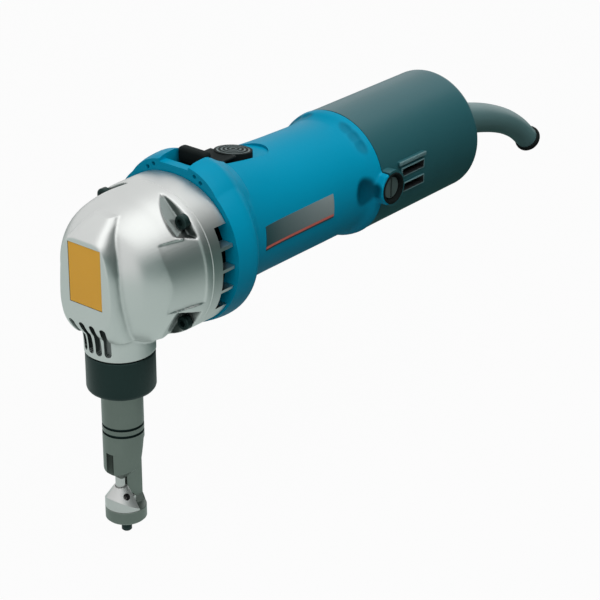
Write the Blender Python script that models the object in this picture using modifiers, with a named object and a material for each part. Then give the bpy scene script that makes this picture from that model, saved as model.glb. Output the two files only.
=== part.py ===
"""Corded sheet-metal nibbler, modelled as it comes apart on a bench.

The drawing frame has x from the head to the cord, z up, the neck axis at x = 0, y = 0
and the underside of the die holder's foot at z = 0. At the end a root empty moves the
whole tool so that the middle of its underside is the origin. Sizes are in metres.
"""

import math

import bmesh
import bpy
from mathutils import Matrix, Vector

# Fits
FIT = 0.0003
RUNNING_GAP = 0.0005
SLOT_PLAY = 0.0001
SET_BACK = 0.0001

# Axes
MOTOR_HEIGHT = 0.1331
STROKE = 0.0065
SWITCH_TRAVEL = 0.006

# Die holder, die and punch
HOLDER_RADIUS = 0.01025
HOLDER_END = 0.0236
FLANGE_RADIUS = 0.0136
FLANGE_HEIGHT = 0.0036
GROOVE_HEIGHTS = (0.0492, 0.0529)
GROOVE_WIDTH = 0.0010
GROOVE_DEPTH = 0.0006
ARM_THICKNESS = 0.0040
ARM_FRONT = -0.0006
ARM_ROOT = 0.0460
FOOT_THICKNESS = 0.0070
FOOT_ROUND = 0.0008
NOSE_CONE_RISE = 0.90
RELIEF_START = 0.0012
RELIEF_RISE = 2.2
SIGHT_SLOT_WIDTH = 0.0046
SIGHT_SLOT_TOP = 0.0360
PUNCH_RADIUS = 0.0024
PUNCH_OFFSET = 0.0034
PUNCH_ENTRY = 0.0016
PUNCH_SHANK = 0.0100
DIE_HEIGHT = 0.0113
DIE_TOP_RADIUS = 0.0034
DIE_CONE_SPREAD = 0.675
DIE_HEEL_LENGTH = 0.0040
DIE_HEEL_WIDTH = 0.0072
DIE_HEEL_HEIGHT = 0.0044
CHIP_HOLE_RADIUS = 0.0013
BOLT_RADIUS = 0.0019
BOLT_HEAD_RADIUS = 0.0026
BOLT_HEAD_HEIGHT = 0.0075
BOLT_SOCKET_RADIUS = 0.0015

# Neck and lock nut
NECK_RADIUS = 0.0170
NECK_DROP = 0.0408
SPIGOT_RADIUS = 0.0140
SPIGOT_LENGTH = 0.0123
NUT_LIP = 0.0038
NUT_ROUND = 0.0014
NECK_SLOT_WIDTH = 0.0033
NECK_SLOT_LENGTH = 0.0150
NECK_SLOT_ANGLES = (-30.0, -10.0, 10.0, 30.0)
CHAMBER_RADIUS = 0.0132
CHAMBER_FLOOR_RISE = 0.0032

# Ram and yoke
RAM_RADIUS = 0.0060
RAM_END = 0.0585
RAM_HEAD_RADIUS = 0.0048
RAM_HEAD_HEIGHT = 0.0026
RAM_NECK_RADIUS = 0.0032
RAM_NECK_HEIGHT = 0.0036
BUSH_WALL = 0.0017
BUSH_LENGTH = 0.0155
YOKE_THICKNESS = 0.0064
YOKE_RIM = 0.0029
YOKE_FOOT = 0.0047
YOKE_BOSS_RADIUS = 0.0061

# Gears and crank
GEAR_MODULE = 0.00065
GEAR_TEETH = 44
PINION_TEETH = 8
GEAR_FACE = 0.0070
TOOTH_BACKLASH = 0.00012
CRANK_RADIUS = 0.0050
CRANK_TAIL_RADIUS = 0.0030
CRANK_DISC_RADIUS = 0.0066
CRANK_DISC_THICKNESS = 0.0025
CRANK_PIN_RADIUS = 0.0030
ROLLER_RADIUS = 0.0050
CRANK_BEARING_WALL = 0.0027
CRANK_BEARING_LENGTH = 0.0059
TAIL_BEARING_WALL = 0.0017
TAIL_BEARING_LENGTH = 0.0048

# Gear housing and bearing cover
HEAD_RADIUS = 0.0386
HEAD_CROWN = 0.0371
HEAD_POWER = 2.15
HEAD_REAR = 0.0246
HEAD_RIM = 0.0040
HEAD_RIM_STEP = 0.0008
HEAD_WALL = 0.0046
PAD_FACE = -0.0221
# Dome behind the pad: place along x, then how far inside the rim at the side, above and below
DOME_STATIONS = ((0.0135, 0.0018, 0.0032, 0.0009), (0.0080, 0.0028, 0.0042, 0.0012),
                 (0.0020, 0.0040, 0.0051, 0.0020), (-0.0040, 0.0058, 0.0063, 0.0036),
                 (-0.0100, 0.0096, 0.0098, 0.0070), (-0.0140, 0.0146, 0.0148, 0.0128),
                 (-0.0165, 0.0206, 0.0208, 0.0198), (-0.0175, 0.0266, 0.0266, 0.0262))
# Nose in front of the dome: height from the motor line, front and half width
NOSE_STATIONS = ((-0.0281, -0.0174, 0.0168), (-0.0241, -0.0203, 0.0172), (-0.0191, -0.0221, 0.0180),
                 (-0.0121, -0.0225, 0.0188), (-0.0051, -0.0225, 0.0190), (0.0149, -0.0225, 0.0190),
                 (0.0209, -0.0212, 0.0178), (0.0269, -0.0172, 0.0150), (0.0314, -0.0095, 0.0105))
NOSE_POWER = 3.4
# Room for the crank: how far inside the rim, and the place along x
HOLLOW_STATIONS = ((0.0100, -0.0040), (0.0146, -0.0100), (0.0206, -0.0129))
WEB_FRONT = 0.0065
WEB_THICKNESS = 0.0065
GEAR_CHAMBER_RADIUS = 0.0322
PANEL_HALF_WIDTH = 0.0352
PANEL_HALF_HEIGHT = 0.0165
PANEL_FRONT = 0.0070
SCREW_SIDE_SHARE = 0.65285
SCREW_UP_SHARE = 0.673575
SCREW_RADIUS = 0.0018
SCREW_HEAD_RADIUS = 0.0036
SCREW_HEAD_HEIGHT = 0.0036
SCREW_SOCKET_RADIUS = 0.0019
SCREW_SEAT = 0.0204
SCREW_LENGTH = 0.0306
SCREW_POCKET_RADIUS = 0.0042
POCKET_TIP_RADIUS = 0.0036
POCKET_TIP_SHIFT = 0.0052
COVER_LENGTH = 0.0151
COVER_PLATE = 0.0072
COVER_WALL = 0.0060
WINDOW_TOP = 0.0205
WINDOW_BOTTOM = -0.0215
WINDOW_COUNT = 4
WINDOW_RIB = 0.0016
WINDOW_DEPTH = 0.0085

# Motor
SHAFT_RADIUS = 0.0045
SHAFT_END_RADIUS = 0.0034
MOTOR_BEARING_RADIUS = 0.0095
MOTOR_BEARING_LENGTH = 0.0062
FAN_RADIUS = 0.0300
FAN_HUB_RADIUS = 0.0085
FAN_BLADES = 11
FAN_BLADE_THICKNESS = 0.0017
FAN_LENGTH = 0.0105
FAN_PLATE = 0.0018
FAN_FRONT = 0.0430
CORE_RADIUS = 0.0170
CORE_FRONT = 0.0780
CORE_LENGTH = 0.0380
CORE_SLOTS = 12
CORE_SLOT_DEPTH = 0.0022
WINDING_RADIUS = 0.0150
WINDING_LENGTH = 0.0100
AIR_GAP = 0.0008
STATOR_FLAT = 0.0245
STATOR_SLOT_RADIUS = 0.0236
POLE_HALF_ANGLE = 55.0
COIL_RADIUS = 0.0023
COIL_ANGLE = 16.0
COIL_OVERHANG = 0.0040
COMMUTATOR_RADIUS = 0.0110
COMMUTATOR_LENGTH = 0.0220
BRUSH_X = 0.1635
BRUSH_SIDE = 0.0054
BRUSH_LENGTH = 0.0130
BRUSH_TUBE_BORE = 0.0042
BRUSH_TUBE_WALL = 0.0012
BRUSH_TUBE_START = 0.0125
BRUSH_TUBE_END = 0.0320
CAP_RADIUS = 0.0070
CAP_THICKNESS = 0.0038
CAP_SLOT = 0.0014
BRUSH_BOSS_RADIUS = 0.0095
BRUSH_BOSS_REACH = 0.0375
REAR_BEARING_FRONT = 0.1800

# Motor housing
HOUSING_STATIONS = ((0.0403, 0.0408, 0.0410, 0.0398), (0.0440, 0.0414, 0.0417, 0.0404),
                    (0.0490, 0.0418, 0.0421, 0.0408), (0.0530, 0.0414, 0.0422, 0.0403),
                    (0.0560, 0.0396, 0.0417, 0.0381), (0.0590, 0.0366, 0.0406, 0.0345),
                    (0.0620, 0.0340, 0.0393, 0.0320), (0.0660, 0.0322, 0.0378, 0.0308),
                    (0.0740, 0.0311, 0.0364, 0.0303), (0.0850, 0.0306, 0.0348, 0.0302),
                    (0.0980, 0.0305, 0.0330, 0.0302), (0.1120, 0.0304, 0.0318, 0.0302),
                    (0.1300, 0.0304, 0.0310, 0.0302), (0.1480, 0.0304, 0.0305, 0.0302),
                    (0.1530, 0.0313, 0.0312, 0.0311), (0.1565, 0.0330, 0.0330, 0.0330))
SEAM_RADIUS = 0.0336
SEAM_FLARE = 0.0102
HOUSING_REAR = 0.1602
FAN_CHAMBER_RADIUS = 0.0325
FAN_CHAMBER_END = 0.0570
STATOR_RADIUS = 0.0275
BAFFLE_BORE = 0.0185
BAFFLE_THICKNESS = 0.0020
INNER_SLEEVE_WALL = 0.0020
SLEEVE_REAR = 0.1890
SLEEVE_END_WALL = 0.0105
FINGER_POCKET_LENGTH = 0.0075
FINGER_POCKET_HEIGHT = 0.0140
FINGER_POCKET_FLOOR = 0.0296
RECESS_HALF_WIDTH = 0.0094
RECESS_FRONT = 0.0453
RECESS_STEP = 0.0645
RECESS_REAR = 0.1045
RECESS_HIGH = 0.0360
RECESS_LOW = 0.0310
BRIDGE_TOP = 0.0392

# Switch
KNOB_SIDE_PLAY = 0.0005
PAD_FRONT_X = 0.0710
PAD_LENGTH = 0.0268
PAD_TOP = 0.0384
PAD_TAIL = 0.0355
STUB_FRONT = 0.0525
STUB_TOP = 0.0448
STUB_LENGTH = 0.0055
LINK_HALF_WIDTH = 0.0030
LINK_THICKNESS = 0.0020
LINK_RISE = 0.0253
LINK_POST = 0.0050
SWITCH_LENGTH = 0.0300
SWITCH_HALF_WIDTH = 0.0090
SWITCH_TOP = 0.0280
SWITCH_BOTTOM = 0.0080

# Rear cover and cord guard
REAR_END = 0.2455
REAR_RADIUS = 0.0330
REAR_WALL = 0.0030
REAR_END_WALL = 0.0035
REAR_ROUND = 0.0038
VENT_HEIGHTS = (0.0035, -0.0050)
VENT_START = 0.1760
VENT_LENGTH = 0.0160
VENT_HEIGHT = 0.0040
COVER_SCREW_X = 0.1835
COVER_SCREW_RADIUS = 0.0017
COVER_SCREW_HEAD = 0.0032
COVER_SCREW_LENGTH = 0.0100
GUARD_ROOT_RADIUS = 0.0080
GUARD_COLLAR_RADIUS = 0.0104
GUARD_COLLAR = 0.0026
GUARD_BORE = 0.0036
GUARD_BORE_DEPTH = 0.0120
GUARD_BEAD = 0.0076
GUARD_ROUTE = ((0.000, 0.0000, 0.0092), (0.021, -0.0022, 0.0090), (0.045, -0.0078, 0.0083),
               (0.066, -0.0155, 0.0074), (0.081, -0.0240, 0.0067), (0.0925, -0.0335, 0.0064))

# Facets
SHELL_SIDES = 40
ROUND_SIDES = 28
SMALL_SIDES = 16

# Sizes that follow from the ones above
NECK_END = MOTOR_HEIGHT - NECK_DROP
HOLDER_TOP = NECK_END - FIT
CHAMBER_FLOOR = NECK_END + CHAMBER_FLOOR_RISE
DIE_SEAT = FOOT_THICKNESS
DIE_TOP = DIE_SEAT + FIT + DIE_HEIGHT
ARM_REAR = HOLDER_RADIUS - FIT
SPIGOT_END = NECK_END - SPIGOT_LENGTH
FLANGE_TOP = SPIGOT_END - FIT
NUT_SEAT = FLANGE_TOP - FLANGE_HEIGHT - FIT
NUT_BOTTOM = NUT_SEAT - NUT_LIP
RAM_BORE = RAM_RADIUS + FIT
CENTRE_DISTANCE = GEAR_MODULE * (GEAR_TEETH + PINION_TEETH) / 2
CRANK_HEIGHT = MOTOR_HEIGHT - CENTRE_DISTANCE
CRANK_THROW = STROKE / 2
PIN_HEIGHT = CRANK_HEIGHT - CRANK_THROW
COUPLING_ERROR = 0.2106 * CRANK_THROW
YOKE_SLOT_HALF_HEIGHT = ROLLER_RADIUS + COUPLING_ERROR + SLOT_PLAY
YOKE_SLOT_HALF_WIDTH = ROLLER_RADIUS + CRANK_THROW + RUNNING_GAP
YOKE_BOTTOM = PIN_HEIGHT - YOKE_SLOT_HALF_HEIGHT - YOKE_FOOT
RAM_HEAD_TOP = YOKE_BOTTOM - FIT
RAM_SHOULDER = RAM_HEAD_TOP - RAM_HEAD_HEIGHT - RAM_NECK_HEIGHT
PUNCH_TOP = RAM_END + PUNCH_SHANK
PUNCH_END = DIE_TOP - PUNCH_ENTRY
WEB_REAR = WEB_FRONT + WEB_THICKNESS
GEAR_FRONT = WEB_REAR + RUNNING_GAP
COVER_FRONT = HEAD_REAR + FIT
COVER_REAR = COVER_FRONT + COVER_LENGTH
MOTOR_BORE = STATOR_RADIUS + FIT
SLEEVE_RADIUS = MOTOR_BORE + INNER_SLEEVE_WALL
REAR_FRONT = HOUSING_REAR + FIT
REAR_BORE = SLEEVE_RADIUS + FIT
SCREW_SIDE = HEAD_RADIUS * SCREW_SIDE_SHARE
SCREW_UP = HEAD_RADIUS * SCREW_UP_SHARE
SCREW_PLACES = ((-SCREW_SIDE, SCREW_UP), (SCREW_SIDE, SCREW_UP),
                (-SCREW_SIDE, -SCREW_UP), (SCREW_SIDE, -SCREW_UP))
COMMUTATOR_FRONT = BRUSH_X - COMMUTATOR_LENGTH / 2
LINK_FRONT = PAD_FRONT_X + FIT
LINK_REAR = SLEEVE_REAR + SWITCH_TRAVEL
FAR = 0.1

for stale in list(bpy.data.objects):
    bpy.data.objects.remove(stale)
parts = bpy.data.collections.new("sheet_metal_nibbler")
cutters = bpy.data.collections.new("cutters")
bpy.context.scene.collection.children.link(parts)
bpy.context.scene.collection.children.link(cutters)


# Working tools

def finish(name, colour, roughness, metallic):
    made = bpy.data.materials.new(name)
    made.use_nodes = True
    shader = made.node_tree.nodes["Principled BSDF"]
    shader.inputs["Base Color"].default_value = (*colour, 1.0)
    shader.inputs["Roughness"].default_value = roughness
    shader.inputs["Metallic"].default_value = metallic
    return made


def add_mesh(name, work):
    """Puts a finished bmesh into the scene as an object."""
    mesh = bpy.data.meshes.new(name)
    work.to_mesh(mesh)
    work.free()
    made = bpy.data.objects.new(name, mesh)
    parts.objects.link(made)
    return made


def turned(name, profile, place=(0, 0, 0), axis="Z", closed=False, sides=ROUND_SIDES):
    """A profile of (radius, height) points, spun about an axis through place."""
    area = sum(a[0] * b[1] - b[0] * a[1] for a, b in zip(profile, profile[1:] + profile[:1]))
    points = profile if area < 0 else profile[::-1]
    work = bmesh.new()
    verts = [work.verts.new((radius, 0, height)) for radius, height in points]
    for first, second in zip(verts, verts[1:]):
        work.edges.new((first, second))
    if closed:
        work.edges.new((verts[-1], verts[0]))
    made = add_mesh(name, work)
    screw = made.modifiers.new("spin", "SCREW")
    screw.steps = sides
    screw.render_steps = sides
    screw.use_merge_vertices = True
    screw.merge_threshold = 0.000001
    made.location = place
    turns = {"Z": (0, 0, 0), "X": (0, math.pi / 2, 0), "Y": (-math.pi / 2, 0, 0)}
    made.rotation_euler = turns[axis]
    return made


def tube(name, outer, inner, start, end, place=(0, 0, 0), axis="Z", sides=ROUND_SIDES):
    """A plain ring between two heights along its axis."""
    ring = [(outer, end), (outer, start), (inner, start), (inner, end)]
    return turned(name, ring, place, axis, True, sides)


def rod(name, radius, start, end, place=(0, 0, 0), axis="Z", sides=ROUND_SIDES):
    """A plain cylinder between two heights along its axis."""
    work = bmesh.new()
    bmesh.ops.create_cone(work, cap_ends=True, segments=sides, radius1=radius,
                          radius2=radius, depth=end - start)
    middle = (start + end) / 2
    turns = {"Z": Matrix.Identity(4), "X": Matrix.Rotation(math.pi / 2, 4, "Y"),
             "Y": Matrix.Rotation(-math.pi / 2, 4, "X")}
    shift = Matrix.Translation(place) @ turns[axis] @ Matrix.Translation((0, 0, middle))
    bmesh.ops.transform(work, matrix=shift, verts=work.verts)
    return add_mesh(name, work)


def box(name, low, high):
    """A block between two corners."""
    work = bmesh.new()
    bmesh.ops.create_cube(work, size=1.0)
    size = [b - a for a, b in zip(low, high)]
    middle = [(a + b) / 2 for a, b in zip(low, high)]
    bmesh.ops.scale(work, vec=size, verts=work.verts)
    bmesh.ops.translate(work, vec=middle, verts=work.verts)
    return add_mesh(name, work)


def plate(name, loops, start, end, axis):
    """Flat outlines, the first with the others as holes, drawn out along an axis.

    The outline is in x and y for Z, in y and z for X, and in x and z for Y.
    """
    curve = bpy.data.curves.new(name, "CURVE")
    curve.dimensions = "2D"
    curve.fill_mode = "BOTH"
    curve.extrude = (end - start) / 2
    for loop in loops:
        spline = curve.splines.new("POLY")
        spline.points.add(len(loop) - 1)
        for point, (u, v) in zip(spline.points, loop):
            point.co = (u, v, 0, 1)
        spline.use_cyclic_u = True
    flat = bpy.data.objects.new(name + "_outline", curve)
    parts.objects.link(flat)
    mesh = bpy.data.meshes.new_from_object(flat.evaluated_get(bpy.context.evaluated_depsgraph_get()))
    bpy.data.objects.remove(flat)
    work = bmesh.new()
    work.from_mesh(mesh)
    bpy.data.meshes.remove(mesh)
    bmesh.ops.remove_doubles(work, verts=work.verts, dist=0.000001)
    bmesh.ops.recalc_face_normals(work, faces=work.faces)
    turns = {"Z": Matrix.Identity(4),
             "X": Matrix.Rotation(math.pi / 2, 4, "Z") @ Matrix.Rotation(math.pi / 2, 4, "X"),
             "Y": Matrix.Rotation(math.pi / 2, 4, "X")}
    middle = (start + end) / 2
    shifts = {"Z": (0, 0, middle), "X": (middle, 0, 0), "Y": (0, middle, 0)}
    bmesh.ops.transform(work, matrix=Matrix.Translation(shifts[axis]) @ turns[axis], verts=work.verts)
    return add_mesh(name, work)


def oval(half_width, half_height, power, sides):
    """Points of a superellipse, a circle at power 2 and squarer above it."""
    points = []
    for step in range(sides):
        turn = 2 * math.pi * step / sides
        c, s = math.cos(turn), math.sin(turn)
        u = half_width * math.copysign(abs(c) ** (2 / power), c)
        v = half_height * math.copysign(abs(s) ** (2 / power), s)
        points.append((u, v))
    return points


def loft(name, rings):
    """A closed skin over rings of the same count of points, capped at both ends."""
    work = bmesh.new()
    rows = [[work.verts.new(point) for point in ring] for ring in rings]
    for row, after in zip(rows, rows[1:]):
        for index in range(len(row)):
            other = (index + 1) % len(row)
            work.faces.new((row[index], row[other], after[other], after[index]))
    work.faces.new(rows[0])
    work.faces.new(rows[-1])
    bmesh.ops.recalc_face_normals(work, faces=work.faces)
    return add_mesh(name, work)


def barrel(name, stations, power):
    """A loft along the motor axis through (x, half width, height above, depth below) stations."""
    rings = []
    for x, side, above, below in stations:
        ring = []
        for y, z in oval(side, 1.0, power, SHELL_SIDES):
            ring.append((x, y, MOTOR_HEIGHT + z * (above if z > 0 else below)))
        rings.append(ring)
    return loft(name, rings)


def rounds(stations):
    """Stations of equal radius all round, from (x, radius) pairs."""
    return [(x, radius, radius, radius) for x, radius in stations]


def put_away(tool):
    """Moves a cutter out of sight, into the collection for cutters."""
    for home in list(tool.users_collection):
        home.objects.unlink(tool)
    cutters.objects.link(tool)
    tool.hide_render = True
    tool.display_type = "WIRE"


def combine(target, tool, operation):
    step = target.modifiers.new(operation.lower(), "BOOLEAN")
    step.operation = operation
    step.object = tool
    tool.parent = target
    tool.matrix_parent_inverse = target.matrix_basis.inverted()
    put_away(tool)


def cut(target, *tools):
    for tool in tools:
        combine(target, tool, "DIFFERENCE")


def join(target, *tools):
    for tool in tools:
        combine(target, tool, "UNION")


def keep(target, tool):
    combine(target, tool, "INTERSECT")


def dress(made, look):
    """Gives a piece its material and shades its round faces smooth."""
    made.data.materials.append(look)
    made.data.shade_smooth()
    made.data.set_sharp_from_angle(angle=math.radians(32))
    return made


def wheel(teeth, backlash, count_per_flank=3):
    """Outline of a spur gear with involute-like flanks and rounded roots."""
    pitch = GEAR_MODULE * teeth / 2
    base = pitch * math.cos(math.radians(20))
    tip = pitch + GEAR_MODULE
    root = pitch - 1.25 * GEAR_MODULE
    half = math.pi / (2 * teeth) - backlash / pitch

    def flank(radius):
        ratio = max(radius, base) / base
        roll = math.sqrt(ratio * ratio - 1)
        at_pitch = math.sqrt((pitch / base) ** 2 - 1)
        return half + (at_pitch - math.atan(at_pitch)) - (roll - math.atan(roll))

    low = max(root, base)
    radii = [low + (tip - low) * step / (count_per_flank - 1) for step in range(count_per_flank)]
    points = []
    for tooth in range(teeth):
        middle = 2 * math.pi * tooth / teeth
        side = [(root, flank(root) * 1.12)] + [(radius, flank(radius)) for radius in radii]
        for radius, angle in side:
            points.append((radius * math.cos(middle - angle), radius * math.sin(middle - angle)))
        for radius, angle in reversed(side):
            points.append((radius * math.cos(middle + angle), radius * math.sin(middle + angle)))
    return points


def ring_loop(radius, sides=SMALL_SIDES):
    return oval(radius, radius, 2, sides)


def shifted(points, du, dv):
    return [(u + du, v + dv) for u, v in points]


def carrier(name, place, above):
    """An empty on a joint's axis, which carries the pieces that move together."""
    made = bpy.data.objects.new(name, None)
    parts.objects.link(made)
    made.location = Vector(place) - Vector(above["place"] if above else (0, 0, 0))
    made["place"] = place
    made.parent = above
    return made


def mount_on(above, *pieces):
    for piece in pieces:
        piece.parent = above
        piece.matrix_parent_inverse = Matrix.Translation(-Vector(above["place"]))


aluminium = finish("cast_aluminium", (0.62, 0.63, 0.62), 0.42, 0.85)
black_oxide = finish("black_oxide_steel", (0.030, 0.036, 0.038), 0.48, 0.55)
tool_steel = finish("tool_steel", (0.22, 0.22, 0.21), 0.36, 0.95)
bright_steel = finish("bright_steel", (0.60, 0.60, 0.58), 0.20, 1.0)
teal_plastic = finish("teal_plastic", (0.000, 0.230, 0.340), 0.38, 0.0)
grey_plastic = finish("dark_grey_plastic", (0.045, 0.075, 0.080), 0.42, 0.0)
black_plastic = finish("black_plastic", (0.018, 0.020, 0.022), 0.50, 0.0)
rubber = finish("guard_rubber", (0.050, 0.065, 0.068), 0.62, 0.0)
copper = finish("copper", (0.72, 0.34, 0.18), 0.32, 1.0)
brass = finish("brass", (0.72, 0.52, 0.22), 0.30, 1.0)
bronze = finish("bronze", (0.50, 0.33, 0.17), 0.38, 1.0)
iron = finish("core_iron", (0.16, 0.16, 0.17), 0.45, 0.9)
carbon = finish("carbon", (0.03, 0.03, 0.03), 0.70, 0.0)

motor_line = (0, 0, MOTOR_HEIGHT)
crank_line = (0, 0, CRANK_HEIGHT)


# Gear housing: a blunt dome with a flat front pad, and the neck under it

def gear_housing():
    rim_front = HEAD_REAR - HEAD_RIM
    body = HEAD_RADIUS - HEAD_RIM_STEP
    crown = HEAD_CROWN - HEAD_RIM_STEP
    dome = [(HEAD_REAR, HEAD_RADIUS, HEAD_CROWN, HEAD_RADIUS), (rim_front, HEAD_RADIUS, HEAD_CROWN, HEAD_RADIUS),
            (rim_front - FIT, body, crown, body)]
    dome += [(x, HEAD_RADIUS - side, HEAD_RADIUS - above, HEAD_RADIUS - below)
             for x, side, above, below in DOME_STATIONS]
    made = barrel("gear_housing", dome, HEAD_POWER)
    rings = []
    for rise, front, half_width in NOSE_STATIONS:
        height = MOTOR_HEIGHT + rise
        rear = WEB_FRONT
        middle = (front + rear) / 2
        shape = oval(rear - middle, half_width, NOSE_POWER, ROUND_SIDES)
        rings.append([(middle + u, v, height) for u, v in shape])
    join(made, loft("head_pad", rings))
    join(made, rod("neck", NECK_RADIUS, NECK_END, CRANK_HEIGHT, sides=SHELL_SIDES))
    join(made, rod("neck_spigot", SPIGOT_RADIUS, SPIGOT_END, CRANK_HEIGHT))
    for side, up in SCREW_PLACES:
        seat = (0, side, MOTOR_HEIGHT + up)
        cut(made, rod("screw_pocket", SCREW_POCKET_RADIUS, -FAR, SCREW_SEAT, seat, "X", SMALL_SIDES))
        if up > 0:
            tip = (0, side - math.copysign(POCKET_TIP_SHIFT, side), seat[2] + POCKET_TIP_SHIFT)
            cut(made, rod("pocket_tip", POCKET_TIP_RADIUS, -FAR, SCREW_SEAT - SET_BACK, tip, "X", SMALL_SIDES))
        cut(made, rod("screw_hole", SCREW_RADIUS + FIT, 0, FAR, seat, "X", SMALL_SIDES))
    for side in (-1, 1):
        low, high = sorted((side * PANEL_HALF_WIDTH, side * FAR))
        cut(made, box("side_panel", (PANEL_FRONT, low, MOTOR_HEIGHT - PANEL_HALF_HEIGHT),
                      (rim_front, high, MOTOR_HEIGHT + PANEL_HALF_HEIGHT)))
    cut(made, box("pad_face", (-FAR, -FAR, 0), (PAD_FACE, FAR, FAR * 2)))
    hollow = [(0, WEB_FRONT), (body - HEAD_WALL - 0.0015, WEB_FRONT)]
    hollow += [(HEAD_RADIUS - inset, x) for inset, x in HOLLOW_STATIONS]
    hollow += [(0, HOLLOW_STATIONS[-1][1])]
    cut(made, turned("crank_room", hollow, motor_line, "X"))
    shaft_room = [(u, v) for u, v in ring_loop(CHAMBER_RADIUS, ROUND_SIDES) if u < WEB_FRONT]
    corner = math.sqrt(CHAMBER_RADIUS ** 2 - WEB_FRONT ** 2)
    upper = [p for p in shaft_room if p[1] >= 0]
    lower = [p for p in shaft_room if p[1] < 0]
    cut(made, plate("yoke_room", [[(WEB_FRONT, corner)] + upper + lower + [(WEB_FRONT, -corner)]],
                    CHAMBER_FLOOR, MOTOR_HEIGHT, "Z"))
    cut(made, rod("gear_room", GEAR_CHAMBER_RADIUS, WEB_REAR, FAR, motor_line, "X"))
    cut(made, rod("neck_bore", HOLDER_RADIUS + FIT, 0, CHAMBER_FLOOR + FIT))
    cut(made, rod("web_bore", CRANK_RADIUS + FIT + CRANK_BEARING_WALL, 0, WEB_REAR + FIT,
                  crank_line, "X", SMALL_SIDES))
    slot_low = NECK_END + 0.003
    for angle in NECK_SLOT_ANGLES:
        slot = box("neck_slot", (-FAR, -NECK_SLOT_WIDTH / 2, slot_low),
                   (-CHAMBER_RADIUS + 0.0012, NECK_SLOT_WIDTH / 2, slot_low + NECK_SLOT_LENGTH))
        slot.data.transform(Matrix.Rotation(math.radians(angle), 4, "Z"))
        cut(made, slot)
    return dress(made, aluminium)


def bearing_cover():
    ends = (COVER_FRONT, COVER_REAR)
    made = barrel("bearing_cover", [(x, HEAD_RADIUS, HEAD_CROWN, HEAD_RADIUS) for x in ends], HEAD_POWER)
    plate_rear = COVER_FRONT + COVER_PLATE
    mouth = HEAD_RADIUS - COVER_WALL
    seat = MOTOR_BEARING_RADIUS + FIT
    seat_front = COVER_FRONT + RUNNING_GAP
    hole = SHAFT_RADIUS + RUNNING_GAP
    room = [(0, 0), (hole, 0), (hole, seat_front), (seat, seat_front), (seat, plate_rear),
            (mouth, plate_rear), (mouth, FAR), (0, FAR)]
    cut(made, turned("fan_mouth", room, motor_line, "X"))
    for side, up in SCREW_PLACES:
        seat = (0, side, MOTOR_HEIGHT + up)
        cut(made, rod("screw_hole", SCREW_RADIUS + FIT, 0, FAR, seat, "X", SMALL_SIDES))
    pitch = (WINDOW_TOP - WINDOW_BOTTOM + WINDOW_RIB) / WINDOW_COUNT
    for side in (-1, 1):
        low, high = sorted((side * SCREW_SIDE * 0.8, side * FAR))
        for index in range(WINDOW_COUNT):
            bottom = MOTOR_HEIGHT + WINDOW_BOTTOM + index * pitch
            cut(made, box("window", (COVER_REAR - WINDOW_DEPTH, low, bottom),
                          (FAR, high, bottom + pitch - WINDOW_RIB)))
    tail = CRANK_TAIL_RADIUS + FIT + TAIL_BEARING_WALL
    cut(made, rod("tail_seat", tail + FIT, 0, COVER_FRONT + TAIL_BEARING_LENGTH + 2 * FIT,
                  crank_line, "X", SMALL_SIDES))
    return dress(made, aluminium)


def head_screw(index, side, up):
    seat = (SCREW_SEAT - SCREW_HEAD_HEIGHT, side, MOTOR_HEIGHT + up)
    shank = SCREW_RADIUS
    head = [(0, 0.0016), (SCREW_SOCKET_RADIUS, 0.0016), (SCREW_SOCKET_RADIUS, 0),
            (SCREW_HEAD_RADIUS, 0), (SCREW_HEAD_RADIUS, SCREW_HEAD_HEIGHT - FIT),
            (shank, SCREW_HEAD_HEIGHT - FIT), (shank, SCREW_HEAD_HEIGHT + SCREW_LENGTH),
            (0, SCREW_HEAD_HEIGHT + SCREW_LENGTH)]
    return dress(turned(f"head_screw_{index}", head, seat, "X", sides=SMALL_SIDES), black_oxide)


# Neck: lock nut, die holder, die and punch

def lock_nut():
    bore = HOLDER_RADIUS + FIT
    thread = SPIGOT_RADIUS + FIT
    top = NECK_END - FIT
    section = [(thread, top), (NECK_RADIUS, top), (NECK_RADIUS, NUT_BOTTOM + NUT_ROUND),
               (NECK_RADIUS - 0.4 * NUT_ROUND, NUT_BOTTOM + 0.4 * NUT_ROUND),
               (NECK_RADIUS - NUT_ROUND, NUT_BOTTOM), (bore, NUT_BOTTOM), (bore, NUT_SEAT),
               (thread, NUT_SEAT)]
    return dress(turned("lock_nut", section, closed=True, sides=SHELL_SIDES), black_oxide)


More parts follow.
